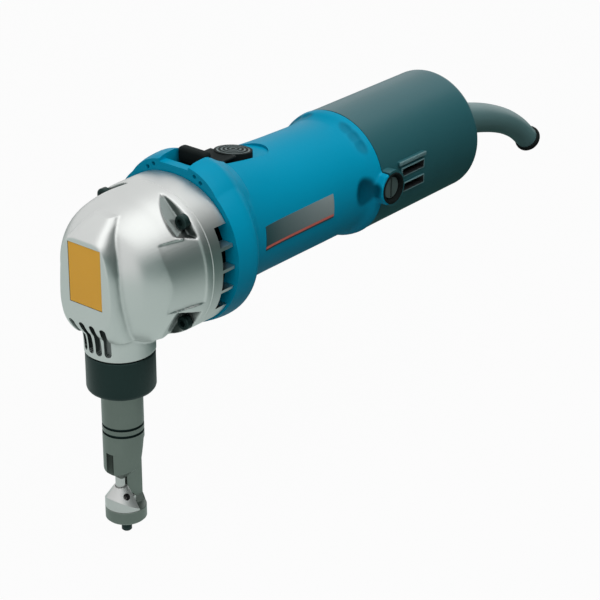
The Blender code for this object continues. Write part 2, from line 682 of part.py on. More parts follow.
def die_holder():
    profile = [(0, HOLDER_TOP), (HOLDER_RADIUS, HOLDER_TOP), (HOLDER_RADIUS, FLANGE_TOP),
               (FLANGE_RADIUS, FLANGE_TOP), (FLANGE_RADIUS, FLANGE_TOP - FLANGE_HEIGHT),
               (HOLDER_RADIUS, FLANGE_TOP - FLANGE_HEIGHT)]
    for height in reversed(GROOVE_HEIGHTS):
        top, bottom = height + GROOVE_WIDTH / 2, height - GROOVE_WIDTH / 2
        floor = HOLDER_RADIUS - GROOVE_DEPTH
        profile += [(HOLDER_RADIUS, top), (floor, top), (floor, bottom), (HOLDER_RADIUS, bottom)]
    profile += [(HOLDER_RADIUS, HOLDER_END), (0, HOLDER_END)]
    made = turned("die_holder", profile)
    reach = HOLDER_RADIUS * 3
    cone = [(PUNCH_RADIUS + FIT, HOLDER_END), (reach, HOLDER_END + NOSE_CONE_RISE * reach),
            (reach, HOLDER_END - 0.001), (PUNCH_RADIUS + FIT, HOLDER_END - 0.001)]
    cut(made, turned("nose_cone", cone, (-PUNCH_OFFSET, 0, 0), closed=True))
    slope = [(RELIEF_START, HOLDER_END - 0.001), (reach, HOLDER_END - 0.001),
             (reach, HOLDER_END + RELIEF_RISE * (reach - RELIEF_START))]
    cut(made, plate("rear_relief", [slope], -reach, reach, "Y"))
    foot = [(0, FOOT_THICKNESS), (HOLDER_RADIUS, FOOT_THICKNESS), (HOLDER_RADIUS, FOOT_ROUND),
            (HOLDER_RADIUS - FOOT_ROUND, 0), (0, 0)]
    join(made, turned("foot", foot))
    half = ARM_THICKNESS / 2
    join(made, box("arm", (ARM_FRONT, -half, FOOT_THICKNESS / 2), (ARM_REAR, half, ARM_ROOT)))
    gusset = [(half, FOOT_THICKNESS + 0.005), (-half, FOOT_THICKNESS + 0.005),
              (-half - 0.0035, FOOT_THICKNESS - FIT), (half + 0.0035, FOOT_THICKNESS - FIT)]
    join(made, plate("arm_root", [gusset], 0.0052, ARM_REAR - 0.0012, "X"))
    heel_rear = ARM_FRONT + DIE_HEEL_LENGTH + FIT
    heel_half = DIE_HEEL_WIDTH / 2 + FIT
    cut(made, box("heel_notch", (ARM_FRONT - FAR, -heel_half, FOOT_THICKNESS),
                  (heel_rear, heel_half, DIE_SEAT + DIE_HEEL_HEIGHT + 2 * FIT)))
    cut(made, rod("ram_bore", RAM_BORE, RAM_END - STROKE, HOLDER_TOP + RUNNING_GAP))
    cut(made, rod("bush_seat", RAM_BORE + BUSH_WALL + FIT, HOLDER_TOP - BUSH_LENGTH - FIT,
                  HOLDER_TOP + 2 * RUNNING_GAP))
    cut(made, rod("punch_bore", PUNCH_RADIUS + FIT, HOLDER_END - 0.001, RAM_END, (-PUNCH_OFFSET, 0, 0),
                  sides=SMALL_SIDES))
    cut(made, box("sight_slot", (-FAR, -SIGHT_SLOT_WIDTH / 2, HOLDER_END - 0.001),
                  (-PUNCH_OFFSET, SIGHT_SLOT_WIDTH / 2, SIGHT_SLOT_TOP)))
    cut(made, rod("bolt_hole", BOLT_RADIUS + FIT, -0.001, FOOT_THICKNESS + 0.001, sides=SMALL_SIDES))
    return dress(made, tool_steel)


def die():
    base = DIE_SEAT + FIT
    made = rod("die", HOLDER_RADIUS, base, DIE_TOP, sides=ROUND_SIDES)
    drop = DIE_TOP - base + 0.001
    cone = [(0, DIE_TOP), (DIE_TOP_RADIUS, DIE_TOP),
            (DIE_TOP_RADIUS + DIE_CONE_SPREAD * drop, DIE_TOP - drop), (0, DIE_TOP - drop)]
    keep(made, turned("die_cone", cone, (-PUNCH_OFFSET, 0, 0)))
    cut(made, box("die_back", (ARM_FRONT - FIT, -FAR, -FAR), (FAR, FAR, FAR)))
    heel_half = DIE_HEEL_WIDTH / 2
    join(made, box("heel", (ARM_FRONT - 0.003, -heel_half, base),
                   (ARM_FRONT + DIE_HEEL_LENGTH, heel_half, DIE_SEAT + DIE_HEEL_HEIGHT)))
    cut(made, rod("slug_hole", PUNCH_RADIUS + FIT, DIE_TOP - 0.006, FAR, (-PUNCH_OFFSET, 0, 0),
                  sides=SMALL_SIDES))
    cut(made, rod("bolt_thread", BOLT_RADIUS + FIT, -FAR, DIE_SEAT + DIE_HEEL_HEIGHT - 0.0008,
                  sides=SMALL_SIDES))
    chip = rod("chip_hole", CHIP_HOLE_RADIUS, 0, FAR, sides=12)
    lean = Matrix.Rotation(math.radians(112), 4, "X")
    chip.data.transform(Matrix.Translation((-PUNCH_OFFSET, 0, DIE_TOP - 0.0052)) @ lean)
    cut(made, chip)
    return dress(made, bright_steel)


def die_bolt():
    head_top = -FIT
    bottom = head_top - BOLT_HEAD_HEIGHT
    tip = DIE_SEAT + DIE_HEEL_HEIGHT - 0.0012
    profile = [(0, tip), (BOLT_RADIUS, tip), (BOLT_RADIUS, head_top), (BOLT_HEAD_RADIUS, head_top),
               (BOLT_HEAD_RADIUS, bottom + 0.0004), (BOLT_HEAD_RADIUS - 0.0004, bottom),
               (BOLT_SOCKET_RADIUS, bottom), (BOLT_SOCKET_RADIUS, bottom + 0.0016), (0, bottom + 0.0016)]
    return dress(turned("die_bolt", profile, sides=SMALL_SIDES), black_oxide)


def punch():
    profile = [(0, PUNCH_TOP), (PUNCH_RADIUS, PUNCH_TOP), (PUNCH_RADIUS, PUNCH_END), (0, PUNCH_END)]
    return dress(turned("punch", profile, (-PUNCH_OFFSET, 0, 0), sides=SMALL_SIDES), bright_steel)


def ram():
    neck_low = RAM_SHOULDER
    profile = [(0, RAM_HEAD_TOP), (RAM_HEAD_RADIUS, RAM_HEAD_TOP),
               (RAM_HEAD_RADIUS, RAM_HEAD_TOP - RAM_HEAD_HEIGHT),
               (RAM_NECK_RADIUS, RAM_HEAD_TOP - RAM_HEAD_HEIGHT), (RAM_NECK_RADIUS, neck_low),
               (RAM_RADIUS, neck_low), (RAM_RADIUS, RAM_END), (0, RAM_END)]
    made = turned("ram", profile, sides=ROUND_SIDES)
    cut(made, rod("punch_socket", PUNCH_RADIUS + FIT, 0, PUNCH_TOP + FIT, (-PUNCH_OFFSET, 0, 0),
                  sides=SMALL_SIDES))
    return dress(made, tool_steel)


def ram_bush():
    made = tube("ram_bush", RAM_BORE + BUSH_WALL, RAM_BORE, HOLDER_TOP - BUSH_LENGTH, HOLDER_TOP)
    return dress(made, bronze)


# Crank, yoke and gear

def yoke():
    outer_half = YOKE_SLOT_HALF_WIDTH + YOKE_RIM
    outer_high = YOKE_SLOT_HALF_HEIGHT + (YOKE_RIM + YOKE_FOOT) / 2
    frame = shifted(oval(outer_half, outer_high, 6, ROUND_SIDES), 0,
                    PIN_HEIGHT + (YOKE_RIM - YOKE_FOOT) / 2)
    slot = [(-YOKE_SLOT_HALF_WIDTH, PIN_HEIGHT - YOKE_SLOT_HALF_HEIGHT),
            (YOKE_SLOT_HALF_WIDTH, PIN_HEIGHT - YOKE_SLOT_HALF_HEIGHT),
            (YOKE_SLOT_HALF_WIDTH, PIN_HEIGHT + YOKE_SLOT_HALF_HEIGHT),
            (-YOKE_SLOT_HALF_WIDTH, PIN_HEIGHT + YOKE_SLOT_HALF_HEIGHT)]
    half = YOKE_THICKNESS / 2
    made = plate("yoke", [frame, slot], -half, half, "X")
    boss_low = RAM_SHOULDER + FIT
    boss = rod("yoke_boss", YOKE_BOSS_RADIUS, boss_low, YOKE_BOTTOM + YOKE_FOOT * 0.5)
    head = RAM_HEAD_RADIUS + FIT
    neck = RAM_NECK_RADIUS + FIT
    shelf = RAM_HEAD_TOP - RAM_HEAD_HEIGHT - FIT
    ceiling = RAM_HEAD_TOP + FIT
    cut(boss, rod("head_pocket", head, shelf, ceiling), rod("neck_pocket", neck, 0, shelf + FIT))
    cut(boss, box("head_way", (-FAR, -head, shelf), (0, head, ceiling)))
    cut(boss, box("neck_way", (-FAR, -neck, 0), (0, neck, shelf + FIT)))
    for low, high in ((-FAR, -half), (half, FAR)):
        cut(boss, box("boss_top", (low, -FAR, ceiling), (high, FAR, FAR * 2)))
    join(made, boss)
    return dress(made, tool_steel)


def crank_shaft():
    disc_front = WEB_FRONT - FIT - CRANK_DISC_THICKNESS
    tail_start = COVER_FRONT + FIT
    tail_end = COVER_FRONT + TAIL_BEARING_LENGTH
    profile = [(0, tail_end), (CRANK_TAIL_RADIUS, tail_end), (CRANK_TAIL_RADIUS, tail_start - 2 * FIT),
               (CRANK_RADIUS, tail_start - 2 * FIT), (CRANK_RADIUS, WEB_FRONT - FIT),
               (CRANK_DISC_RADIUS, WEB_FRONT - FIT), (CRANK_DISC_RADIUS, disc_front), (0, disc_front)]
    made = turned("crank_shaft", profile, crank_line, "X")
    join(made, rod("crank_pin", CRANK_PIN_RADIUS, -YOKE_THICKNESS / 2, disc_front + FIT,
                   (0, 0, PIN_HEIGHT), "X", SMALL_SIDES))
    return dress(made, tool_steel)


def crank_roller():
    end = WEB_FRONT - 2 * FIT - CRANK_DISC_THICKNESS
    made = tube("crank_roller", ROLLER_RADIUS, CRANK_PIN_RADIUS + FIT, -YOKE_THICKNESS / 2, end,
                (0, 0, PIN_HEIGHT), "X", SMALL_SIDES)
    return dress(made, bright_steel)


def drive_gear():
    outline = wheel(GEAR_TEETH, TOOTH_BACKLASH)
    loops = [shifted(outline, 0, CRANK_HEIGHT),
             shifted(ring_loop(CRANK_RADIUS + FIT), 0, CRANK_HEIGHT)]
    return dress(plate("drive_gear", loops, GEAR_FRONT, GEAR_FRONT + GEAR_FACE, "X"), tool_steel)


def crank_bearing_front():
    inner = CRANK_RADIUS + FIT
    made = tube("crank_bearing_front", inner + CRANK_BEARING_WALL - FIT, inner, WEB_FRONT + FIT,
                WEB_FRONT + FIT + CRANK_BEARING_LENGTH, crank_line, "X", SMALL_SIDES)
    return dress(made, bright_steel)


def crank_bearing_rear():
    inner = CRANK_TAIL_RADIUS + FIT
    made = tube("crank_bearing_rear", inner + TAIL_BEARING_WALL, inner, COVER_FRONT + FIT,
                COVER_FRONT + TAIL_BEARING_LENGTH, crank_line, "X", SMALL_SIDES)
    return dress(made, bright_steel)


# Motor

def armature_shaft():
    bearing_front = COVER_FRONT + 2 * RUNNING_GAP
    step = bearing_front + MOTOR_BEARING_LENGTH + FIT
    end = REAR_BEARING_FRONT + MOTOR_BEARING_LENGTH
    pinion_end = GEAR_FRONT + GEAR_FACE + RUNNING_GAP
    profile = [(0, end), (SHAFT_END_RADIUS, end), (SHAFT_END_RADIUS, REAR_BEARING_FRONT - FIT),
               (SHAFT_RADIUS, REAR_BEARING_FRONT - FIT), (SHAFT_RADIUS, step), (SHAFT_END_RADIUS, step),
               (SHAFT_END_RADIUS, pinion_end), (0, pinion_end)]
    made = turned("armature_shaft", profile, motor_line, "X", sides=SMALL_SIDES)
    half_tooth = math.pi / PINION_TEETH
    turn = math.cos(half_tooth), math.sin(half_tooth)
    teeth = wheel(PINION_TEETH, TOOTH_BACKLASH)
    upright = [(u * turn[0] - v * turn[1], u * turn[1] + v * turn[0]) for u, v in teeth]
    quarter = [(v, -u) for u, v in upright]
    join(made, plate("pinion", [shifted(quarter, 0, MOTOR_HEIGHT)], GEAR_FRONT, pinion_end + 2 * FIT, "X"))
    return dress(made, tool_steel)


def armature_core():
    points = []
    pitch = 2 * math.pi / CORE_SLOTS
    floor = CORE_RADIUS - CORE_SLOT_DEPTH
    for index in range(CORE_SLOTS):
        start = index * pitch
        for share, radius in ((0.00, floor), (0.16, floor), (0.20, CORE_RADIUS), (0.47, CORE_RADIUS),
                              (0.69, CORE_RADIUS), (0.96, CORE_RADIUS)):
            angle = start + share * pitch
            points.append((radius * math.cos(angle), MOTOR_HEIGHT + radius * math.sin(angle)))
    loops = [points, shifted(ring_loop(SHAFT_RADIUS + FIT), 0, MOTOR_HEIGHT)]
    return dress(plate("armature_core", loops, CORE_FRONT, CORE_FRONT + CORE_LENGTH, "X"), iron)


def armature_winding(name, near, far):
    bore = SHAFT_RADIUS + FIT
    shrink = 0.6 * WINDING_RADIUS
    section = [(bore, near), (WINDING_RADIUS, near), (WINDING_RADIUS, near + 0.6 * (far - near)),
               (0.9 * WINDING_RADIUS, near + 0.85 * (far - near)), (shrink, far), (bore, far)]
    return dress(turned(name, section, motor_line, "X", True, SMALL_SIDES), copper)


def commutator():
    made = tube("commutator", COMMUTATOR_RADIUS, SHAFT_RADIUS + FIT, COMMUTATOR_FRONT,
                COMMUTATOR_FRONT + COMMUTATOR_LENGTH, motor_line, "X", SMALL_SIDES)
    return dress(made, copper)


def cooling_fan():
    tip = FAN_RADIUS - 0.0012
    half_root = 0.5 * FAN_BLADE_THICKNESS / FAN_HUB_RADIUS
    half_tip = 0.5 * FAN_BLADE_THICKNESS / tip
    star = []
    for blade in range(FAN_BLADES):
        middle = 2 * math.pi * blade / FAN_BLADES
        for radius, angle in ((FAN_HUB_RADIUS, -half_root), (tip, -half_tip), (tip, half_tip),
                              (FAN_HUB_RADIUS, half_root)):
            star.append((radius * math.cos(middle + angle), MOTOR_HEIGHT + radius * math.sin(middle + angle)))
    bore = shifted(ring_loop(SHAFT_RADIUS + FIT), 0, MOTOR_HEIGHT)
    plate_front = FAN_FRONT + FAN_LENGTH - FAN_PLATE
    made = plate("cooling_fan", [star, bore], FAN_FRONT, plate_front + FIT, "X")
    join(made, tube("fan_plate", FAN_RADIUS, SHAFT_RADIUS + FIT, plate_front, FAN_FRONT + FAN_LENGTH,
                    motor_line, "X", ROUND_SIDES))
    return dress(made, black_plastic)


def motor_bearing(name, start):
    inner = SHAFT_END_RADIUS + FIT
    made = tube(name, MOTOR_BEARING_RADIUS, inner, start, start + MOTOR_BEARING_LENGTH, motor_line, "X",
                SMALL_SIDES)
    return dress(made, bright_steel)


def field_stator():
    outer = []
    for y, z in ring_loop(STATOR_RADIUS, SHELL_SIDES):
        outer.append((y, max(-STATOR_FLAT, min(STATOR_FLAT, z)) + MOTOR_HEIGHT))
    bore = CORE_RADIUS + AIR_GAP
    inner = []
    for step in range(72):
        angle = 2 * math.pi * (step + 0.5) / 72
        lean = abs((math.degrees(angle) + 90) % 180 - 90)
        radius = bore if lean < POLE_HALF_ANGLE else STATOR_SLOT_RADIUS
        inner.append((radius * math.cos(angle), MOTOR_HEIGHT + radius * math.sin(angle)))
    made = plate("field_stator", [outer, inner], CORE_FRONT, CORE_FRONT + CORE_LENGTH, "X")
    return dress(made, iron)


def field_coil(name, side):
    radius = (CORE_RADIUS + AIR_GAP + STATOR_SLOT_RADIUS) / 2
    ends = (CORE_FRONT - COIL_OVERHANG, CORE_FRONT + CORE_LENGTH + COIL_OVERHANG)
    arc = [math.radians(90 + COIL_ANGLE + (180 - 2 * COIL_ANGLE) * step / 8) for step in range(9)]
    loop = [(ends[0], angle) for angle in arc] + [(ends[1], angle) for angle in reversed(arc)]
    curve = bpy.data.curves.new(name, "CURVE")
    curve.dimensions = "3D"
    curve.bevel_depth = COIL_RADIUS
    curve.bevel_resolution = 1
    spline = curve.splines.new("POLY")
    spline.points.add(len(loop) - 1)
    for point, (x, angle) in zip(spline.points, loop):
        y = side * radius * math.cos(angle)
        point.co = (x, -y, MOTOR_HEIGHT + radius * math.sin(angle), 1)
    spline.use_cyclic_u = True
    made = bpy.data.objects.new(name, curve)
    parts.objects.link(made)
    curve.materials.append(copper)
    return made


def baffle_ring():
    made = tube("baffle_ring", FAN_CHAMBER_RADIUS - FIT, BAFFLE_BORE,
                FAN_CHAMBER_END - FIT - BAFFLE_THICKNESS, FAN_CHAMBER_END - FIT, motor_line, "X")
    return dress(made, black_plastic)


# Brush gear, one set on each side

def brush_holder(name, side):
    low, high = sorted((side * BRUSH_TUBE_START, side * BRUSH_TUBE_END))
    made = tube(name, BRUSH_TUBE_BORE + BRUSH_TUBE_WALL, BRUSH_TUBE_BORE, low, high,
                (BRUSH_X, 0, MOTOR_HEIGHT), "Y", SMALL_SIDES)
    return dress(made, brass)


def carbon_brush(name, side):
    half = BRUSH_SIDE / 2
    start = COMMUTATOR_RADIUS + FIT
    low, high = sorted((side * start, side * (start + BRUSH_LENGTH)))
    made = box(name, (BRUSH_X - half, low, MOTOR_HEIGHT - half), (BRUSH_X + half, high, MOTOR_HEIGHT + half))
    return dress(made, carbon)


def brush_cap(name, side):
    plug = BRUSH_TUBE_BORE - FIT
    seat = BRUSH_TUBE_END + FIT
    inner = COMMUTATOR_RADIUS + FIT + BRUSH_LENGTH + FIT
    profile = [(0, seat + CAP_THICKNESS), (CAP_RADIUS - 0.0006, seat + CAP_THICKNESS),
               (CAP_RADIUS, seat + CAP_THICKNESS - 0.0006), (CAP_RADIUS, seat), (plug, seat),
               (plug, inner), (0, inner)]
    made = turned(name, [(radius, side * reach) for radius, reach in profile],
                  (BRUSH_X, 0, MOTOR_HEIGHT), "Y", sides=SMALL_SIDES)
    face = side * (seat + CAP_THICKNESS)
    low, high = sorted((face - side * 0.0012, face + side * 0.001))
    cut(made, box("cap_slot", (BRUSH_X - CAP_SLOT / 2, low, MOTOR_HEIGHT - 0.0052),
                  (BRUSH_X + CAP_SLOT / 2, high, MOTOR_HEIGHT + 0.0052)))
    return dress(made, black_plastic)


def brush_boss(name, side, x_low, x_high):
    """Half of the round boss that the brush cap sits in, between two planes."""
    low, high = sorted((side * (SLEEVE_RADIUS - 0.0015), side * BRUSH_BOSS_REACH))
    boss = rod(name, BRUSH_BOSS_RADIUS, low, high, (BRUSH_X, 0, MOTOR_HEIGHT), "Y", ROUND_SIDES)
    keep(boss, box("boss_half", (x_low, -FAR, 0), (x_high, FAR, FAR * 2)))
    return boss


def brush_bores(made, side):
    seat = BRUSH_TUBE_END + FIT
    low, high = sorted((side * (seat - FIT), side * FAR))
    cut(made, rod("cap_bore", CAP_RADIUS + FIT, low, high, (BRUSH_X, 0, MOTOR_HEIGHT), "Y", SMALL_SIDES))
    low, high = sorted((side * BRUSH_TUBE_START, side * FAR))
    cut(made, rod("holder_bore", BRUSH_TUBE_BORE + BRUSH_TUBE_WALL + FIT, low, high,
                  (BRUSH_X, 0, MOTOR_HEIGHT), "Y", SMALL_SIDES))


# Motor housing: flange, grip, seam and the inner sleeve under the rear cover

def motor_housing():
    stations = list(HOUSING_STATIONS) + rounds(((HOUSING_REAR, SEAM_RADIUS),))
    made = barrel("motor_housing", stations, 2.05)
    join(made, rod("sleeve", SLEEVE_RADIUS, HOUSING_REAR - SEAM_FLARE, SLEEVE_REAR, motor_line, "X",
                   SHELL_SIDES))
    for side in (-1, 1):
        join(made, brush_boss("teal_boss", side, BRUSH_X - FAR, HOUSING_REAR - SET_BACK))
    wall_front = SLEEVE_REAR - SLEEVE_END_WALL
    seat = MOTOR_BEARING_RADIUS + FIT
    bearing_end = REAR_BEARING_FRONT + MOTOR_BEARING_LENGTH + FIT
    hollow = [(0, -FAR), (FAN_CHAMBER_RADIUS, -FAR), (FAN_CHAMBER_RADIUS, FAN_CHAMBER_END),
              (MOTOR_BORE, FAN_CHAMBER_END), (MOTOR_BORE, wall_front), (seat, wall_front),
              (seat, bearing_end), (SHAFT_RADIUS, bearing_end), (SHAFT_RADIUS, FAR * 3), (0, FAR * 3)]
    cut(made, turned("motor_room", hollow, motor_line, "X", sides=SHELL_SIDES))
    for side in (-1, 1):
        low, high = sorted((side * 0.0135, side * 0.0235))
        cut(made, box("air_window", (wall_front - 0.001, low, MOTOR_HEIGHT - 0.009),
                      (SLEEVE_REAR + 0.001, high, MOTOR_HEIGHT + 0.009)))
        brush_bores(made, side)
        low, high = sorted((side * FINGER_POCKET_FLOOR, side * FAR))
        pocket_rear = BRUSH_X - BRUSH_BOSS_RADIUS - RUNNING_GAP
        cut(made, box("finger_pocket", (pocket_rear - FINGER_POCKET_LENGTH, low,
                                        MOTOR_HEIGHT - FINGER_POCKET_HEIGHT / 2),
                      (pocket_rear, high, MOTOR_HEIGHT + FINGER_POCKET_HEIGHT / 2)))
    for side, up in SCREW_PLACES:
        seat = (0, side, MOTOR_HEIGHT + up)
        tip = SCREW_SEAT + SCREW_LENGTH + RUNNING_GAP
        cut(made, rod("screw_hole", SCREW_RADIUS + FIT, 0, tip, seat, "X", SMALL_SIDES))
    recess = [(0, BRIDGE_TOP), (RECESS_FRONT, BRIDGE_TOP), (RECESS_FRONT, RECESS_HIGH),
              (RECESS_STEP, RECESS_HIGH), (RECESS_STEP, RECESS_LOW), (RECESS_REAR, RECESS_LOW),
              (RECESS_REAR, FAR), (0, FAR)]
    cut(made, plate("switch_recess", [shifted(recess, 0, MOTOR_HEIGHT)], -RECESS_HALF_WIDTH,
                    RECESS_HALF_WIDTH, "Y"))
    cut(made, box("link_slot", (LINK_FRONT - SWITCH_TRAVEL - RUNNING_GAP, -LINK_HALF_WIDTH - FIT, MOTOR_HEIGHT),
                  (LINK_FRONT + LINK_POST + RUNNING_GAP, LINK_HALF_WIDTH + FIT, FAR * 2)))
    cut(made, box("link_way", (wall_front - 0.001, -LINK_HALF_WIDTH - FIT, MOTOR_HEIGHT + LINK_RISE - FIT),
                  (SLEEVE_REAR + 0.001, LINK_HALF_WIDTH + FIT, MOTOR_HEIGHT + LINK_RISE + LINK_THICKNESS + FIT)))
    cut(made, rod("cover_screw_hole", COVER_SCREW_RADIUS + FIT, 0, MOTOR_HEIGHT - SLEEVE_RADIUS
                  + COVER_SCREW_LENGTH, (COVER_SCREW_X, 0, 0), sides=SMALL_SIDES))
    return dress(made, teal_plastic)


# Switch: the thumb slide, the link inside and the switch it works

def switch_knob():
    rear = PAD_FRONT_X + PAD_LENGTH
    under_pad = RECESS_LOW + FIT
    under_tongue = RECESS_HIGH + FIT
    side = [(PAD_FRONT_X, under_pad), (rear, under_pad), (rear, PAD_TAIL),
            ((PAD_FRONT_X + rear) / 2, (PAD_TOP + PAD_TAIL) / 2), (PAD_FRONT_X + 0.003, PAD_TOP),
            (STUB_FRONT + STUB_LENGTH + 0.0015, STUB_TOP - 0.0028), (STUB_FRONT + STUB_LENGTH, STUB_TOP),
            (STUB_FRONT + 0.0006, STUB_TOP), (STUB_FRONT, STUB_TOP - 0.004),
            (STUB_FRONT + 0.0025, under_tongue), (PAD_FRONT_X, under_tongue)]
    half = RECESS_HALF_WIDTH - KNOB_SIDE_PLAY
    made = plate("switch_knob", [shifted(side, 0, MOTOR_HEIGHT)], -half, half, "Y")
    return dress(made, black_plastic)


def switch_link():
    low = MOTOR_HEIGHT + LINK_RISE
    half = LINK_HALF_WIDTH
    side = [(LINK_FRONT, low), (LINK_REAR, low), (LINK_REAR, low + LINK_THICKNESS),
            (LINK_FRONT + LINK_POST, low + LINK_THICKNESS),
            (LINK_FRONT + LINK_POST, MOTOR_HEIGHT + RECESS_LOW), (LINK_FRONT, MOTOR_HEIGHT + RECESS_LOW)]
    return dress(plate("switch_link", [side], -half, half, "Y"), black_plastic)


def switch_body():
    front = LINK_REAR + FIT
    made = box("switch_body", (front, -SWITCH_HALF_WIDTH, MOTOR_HEIGHT + SWITCH_BOTTOM),
               (front + SWITCH_LENGTH, SWITCH_HALF_WIDTH, MOTOR_HEIGHT + SWITCH_TOP))
    return dress(made, black_plastic)


# Rear cover, its screw and the cord guard

def rear_cover():
    stations = ((REAR_FRONT, SEAM_RADIUS), (REAR_FRONT + 0.008, SEAM_RADIUS - FIT),
                (REAR_END - 2.4 * REAR_ROUND, REAR_RADIUS), (REAR_END - REAR_ROUND, REAR_RADIUS - 0.0003),
                (REAR_END - 0.45 * REAR_ROUND, REAR_RADIUS - 0.22 * REAR_ROUND),
                (REAR_END - 0.1 * REAR_ROUND, REAR_RADIUS - 0.62 * REAR_ROUND),
                (REAR_END, REAR_RADIUS - REAR_ROUND))
    made = barrel("rear_cover", rounds(stations), 2.0)
    for side in (-1, 1):
        join(made, brush_boss("rear_boss", side, REAR_FRONT + SET_BACK, BRUSH_X + FAR))
    inner_end = REAR_END - REAR_END_WALL
    guard_hole = GUARD_ROOT_RADIUS + FIT
    room = [(0, 0), (REAR_BORE, 0), (REAR_BORE, inner_end - REAR_ROUND),
            (REAR_BORE - 0.5 * REAR_ROUND, inner_end), (guard_hole, inner_end),
            (guard_hole, FAR * 3), (0, FAR * 3)]
    cut(made, turned("rear_room", room, motor_line, "X", sides=SHELL_SIDES))
    for side in (-1, 1):
        brush_bores(made, side)
        low, high = sorted((side * REAR_RADIUS * 0.6, side * FAR))
        for height in VENT_HEIGHTS:
            middle = MOTOR_HEIGHT + height
            cut(made, box("vent", (VENT_START, low, middle - VENT_HEIGHT / 2),
                          (VENT_START + VENT_LENGTH, high, middle + VENT_HEIGHT / 2)))
    head_seat = MOTOR_HEIGHT - REAR_BORE - 0.0012
    cut(made, rod("screw_head_bore", COVER_SCREW_HEAD + FIT, 0, head_seat, (COVER_SCREW_X, 0, 0),
                  sides=SMALL_SIDES))
    cut(made, rod("screw_bore", COVER_SCREW_RADIUS + FIT, 0, MOTOR_HEIGHT, (COVER_SCREW_X, 0, 0),
                  sides=SMALL_SIDES))
    return dress(made, grey_plastic)


def rear_cover_screw():
    seat = MOTOR_HEIGHT - REAR_BORE - 0.0012 - FIT
    tip = MOTOR_HEIGHT - SLEEVE_RADIUS + COVER_SCREW_LENGTH - FIT
    low = MOTOR_HEIGHT - SEAM_RADIUS + 0.0006
    profile = [(0, tip), (COVER_SCREW_RADIUS, tip), (COVER_SCREW_RADIUS, seat), (COVER_SCREW_HEAD, seat),
               (COVER_SCREW_HEAD, low + 0.0005), (COVER_SCREW_HEAD - 0.0008, low), (0, low)]
    made = turned("rear_cover_screw", profile, (COVER_SCREW_X, 0, 0), sides=SMALL_SIDES)
    return dress(made, black_oxide)


def guard_points():
    """Points and radii along the bent guard, from a smooth curve through its route."""
    stops = [Vector((REAR_END + x, 0, MOTOR_HEIGHT + z)) for x, z, radius in GUARD_ROUTE]
    radii = [radius for x, z, radius in GUARD_ROUTE]
    points = []
    for index in range(len(stops) - 1):
        before = stops[max(index - 1, 0)]
        after = stops[min(index + 2, len(stops) - 1)]
        start, end = stops[index], stops[index + 1]
        if index == 0:
            before = start - Vector((end.x - start.x, 0, 0))
        for step in range(4):
            t = step / 4
            place = 0.5 * (2 * start + (end - before) * t
                           + (2 * before - 5 * start + 4 * end - after) * t * t
                           + (3 * start - before - 3 * end + after) * t ** 3)
            points.append((place, radii[index] + (radii[index + 1] - radii[index]) * t))
    points.append((stops[-1], radii[-1]))
    return points


def cord_guard():
    points = guard_points()
    tip, tip_radius = points[-1]
    heading = (tip - points[-2][0]).normalized()
    bead = ((0.0006, GUARD_BEAD * 0.93), (0.0016, GUARD_BEAD), (0.0032, GUARD_BEAD),
            (0.0042, GUARD_BEAD * 0.93))
    stations = [(points[0][0] + Vector((FIT, 0, 0)), points[0][1])] + points[1:]
    stations += [(tip + heading * along, radius) for along, radius in bead]
    rings = []
    for index, (place, radius) in enumerate(stations):
        ahead = stations[min(index + 1, len(stations) - 1)][0]
        behind = stations[max(index - 1, 0)][0]
        direction = Vector((1, 0, 0)) if index == 0 else (ahead - behind).normalized()
        across = Vector((0, 1, 0))
        upward = direction.cross(across)
        rings.append([place + across * u + upward * v for u, v in ring_loop(radius, SMALL_SIDES)])
    made = loft("cord_guard", rings)
    inner = REAR_END - REAR_END_WALL
    root = [(0, REAR_END + 0.003), (GUARD_ROOT_RADIUS, REAR_END + 0.003), (GUARD_ROOT_RADIUS, inner - FIT),
            (GUARD_COLLAR_RADIUS, inner - FIT), (GUARD_COLLAR_RADIUS, inner - FIT - GUARD_COLLAR),
            (0, inner - FIT - GUARD_COLLAR)]
    join(made, turned("guard_root", root, motor_line, "X", sides=SMALL_SIDES))
    mouth = rod("cord_mouth", GUARD_BORE, -GUARD_BORE_DEPTH, 0.02, sides=SMALL_SIDES)
    spin = Vector((0, 0, 1)).rotation_difference(heading).to_matrix().to_4x4()
    mouth.data.transform(Matrix.Translation(tip) @ spin)
    cut(made, mouth)
    return dress(made, rubber)


# Assembly

root = carrier("tool", (0, 0, 0), None)
crank_axis = carrier("crank_axis", crank_line, root)
motor_axis = carrier("motor_axis", motor_line, root)
neck_axis = carrier("neck_axis", (0, 0, 0), root)
nut_axis = carrier("nut_axis", (0, 0, 0), root)
yoke_way = carrier("yoke_way", (0, 0, PIN_HEIGHT), root)
ram_axis = carrier("ram_axis", (0, 0, RAM_END), yoke_way)
switch_way = carrier("switch_way", (PAD_FRONT_X, 0, MOTOR_HEIGHT), root)

mount_on(root, gear_housing(), bearing_cover())
for number, (side, up) in enumerate(SCREW_PLACES, 1):
    mount_on(root, head_screw(number, side, up))
mount_on(nut_axis, lock_nut())
mount_on(neck_axis, die_holder(), die(), die_bolt(), ram_bush())
mount_on(yoke_way, yoke())
mount_on(ram_axis, ram(), punch())
mount_on(crank_axis, crank_shaft(), crank_roller(), drive_gear())
mount_on(root, crank_bearing_front(), crank_bearing_rear())
core_rear = CORE_FRONT + CORE_LENGTH
mount_on(motor_axis, armature_shaft(), armature_core(),
         armature_winding("armature_winding_front", CORE_FRONT - FIT, CORE_FRONT - FIT - WINDING_LENGTH),
         armature_winding("armature_winding_rear", core_rear + FIT, core_rear + FIT + WINDING_LENGTH),
         commutator(), cooling_fan())
mount_on(root, motor_bearing("armature_bearing_front", COVER_FRONT + 2 * RUNNING_GAP),
         motor_bearing("armature_bearing_rear", REAR_BEARING_FRONT))
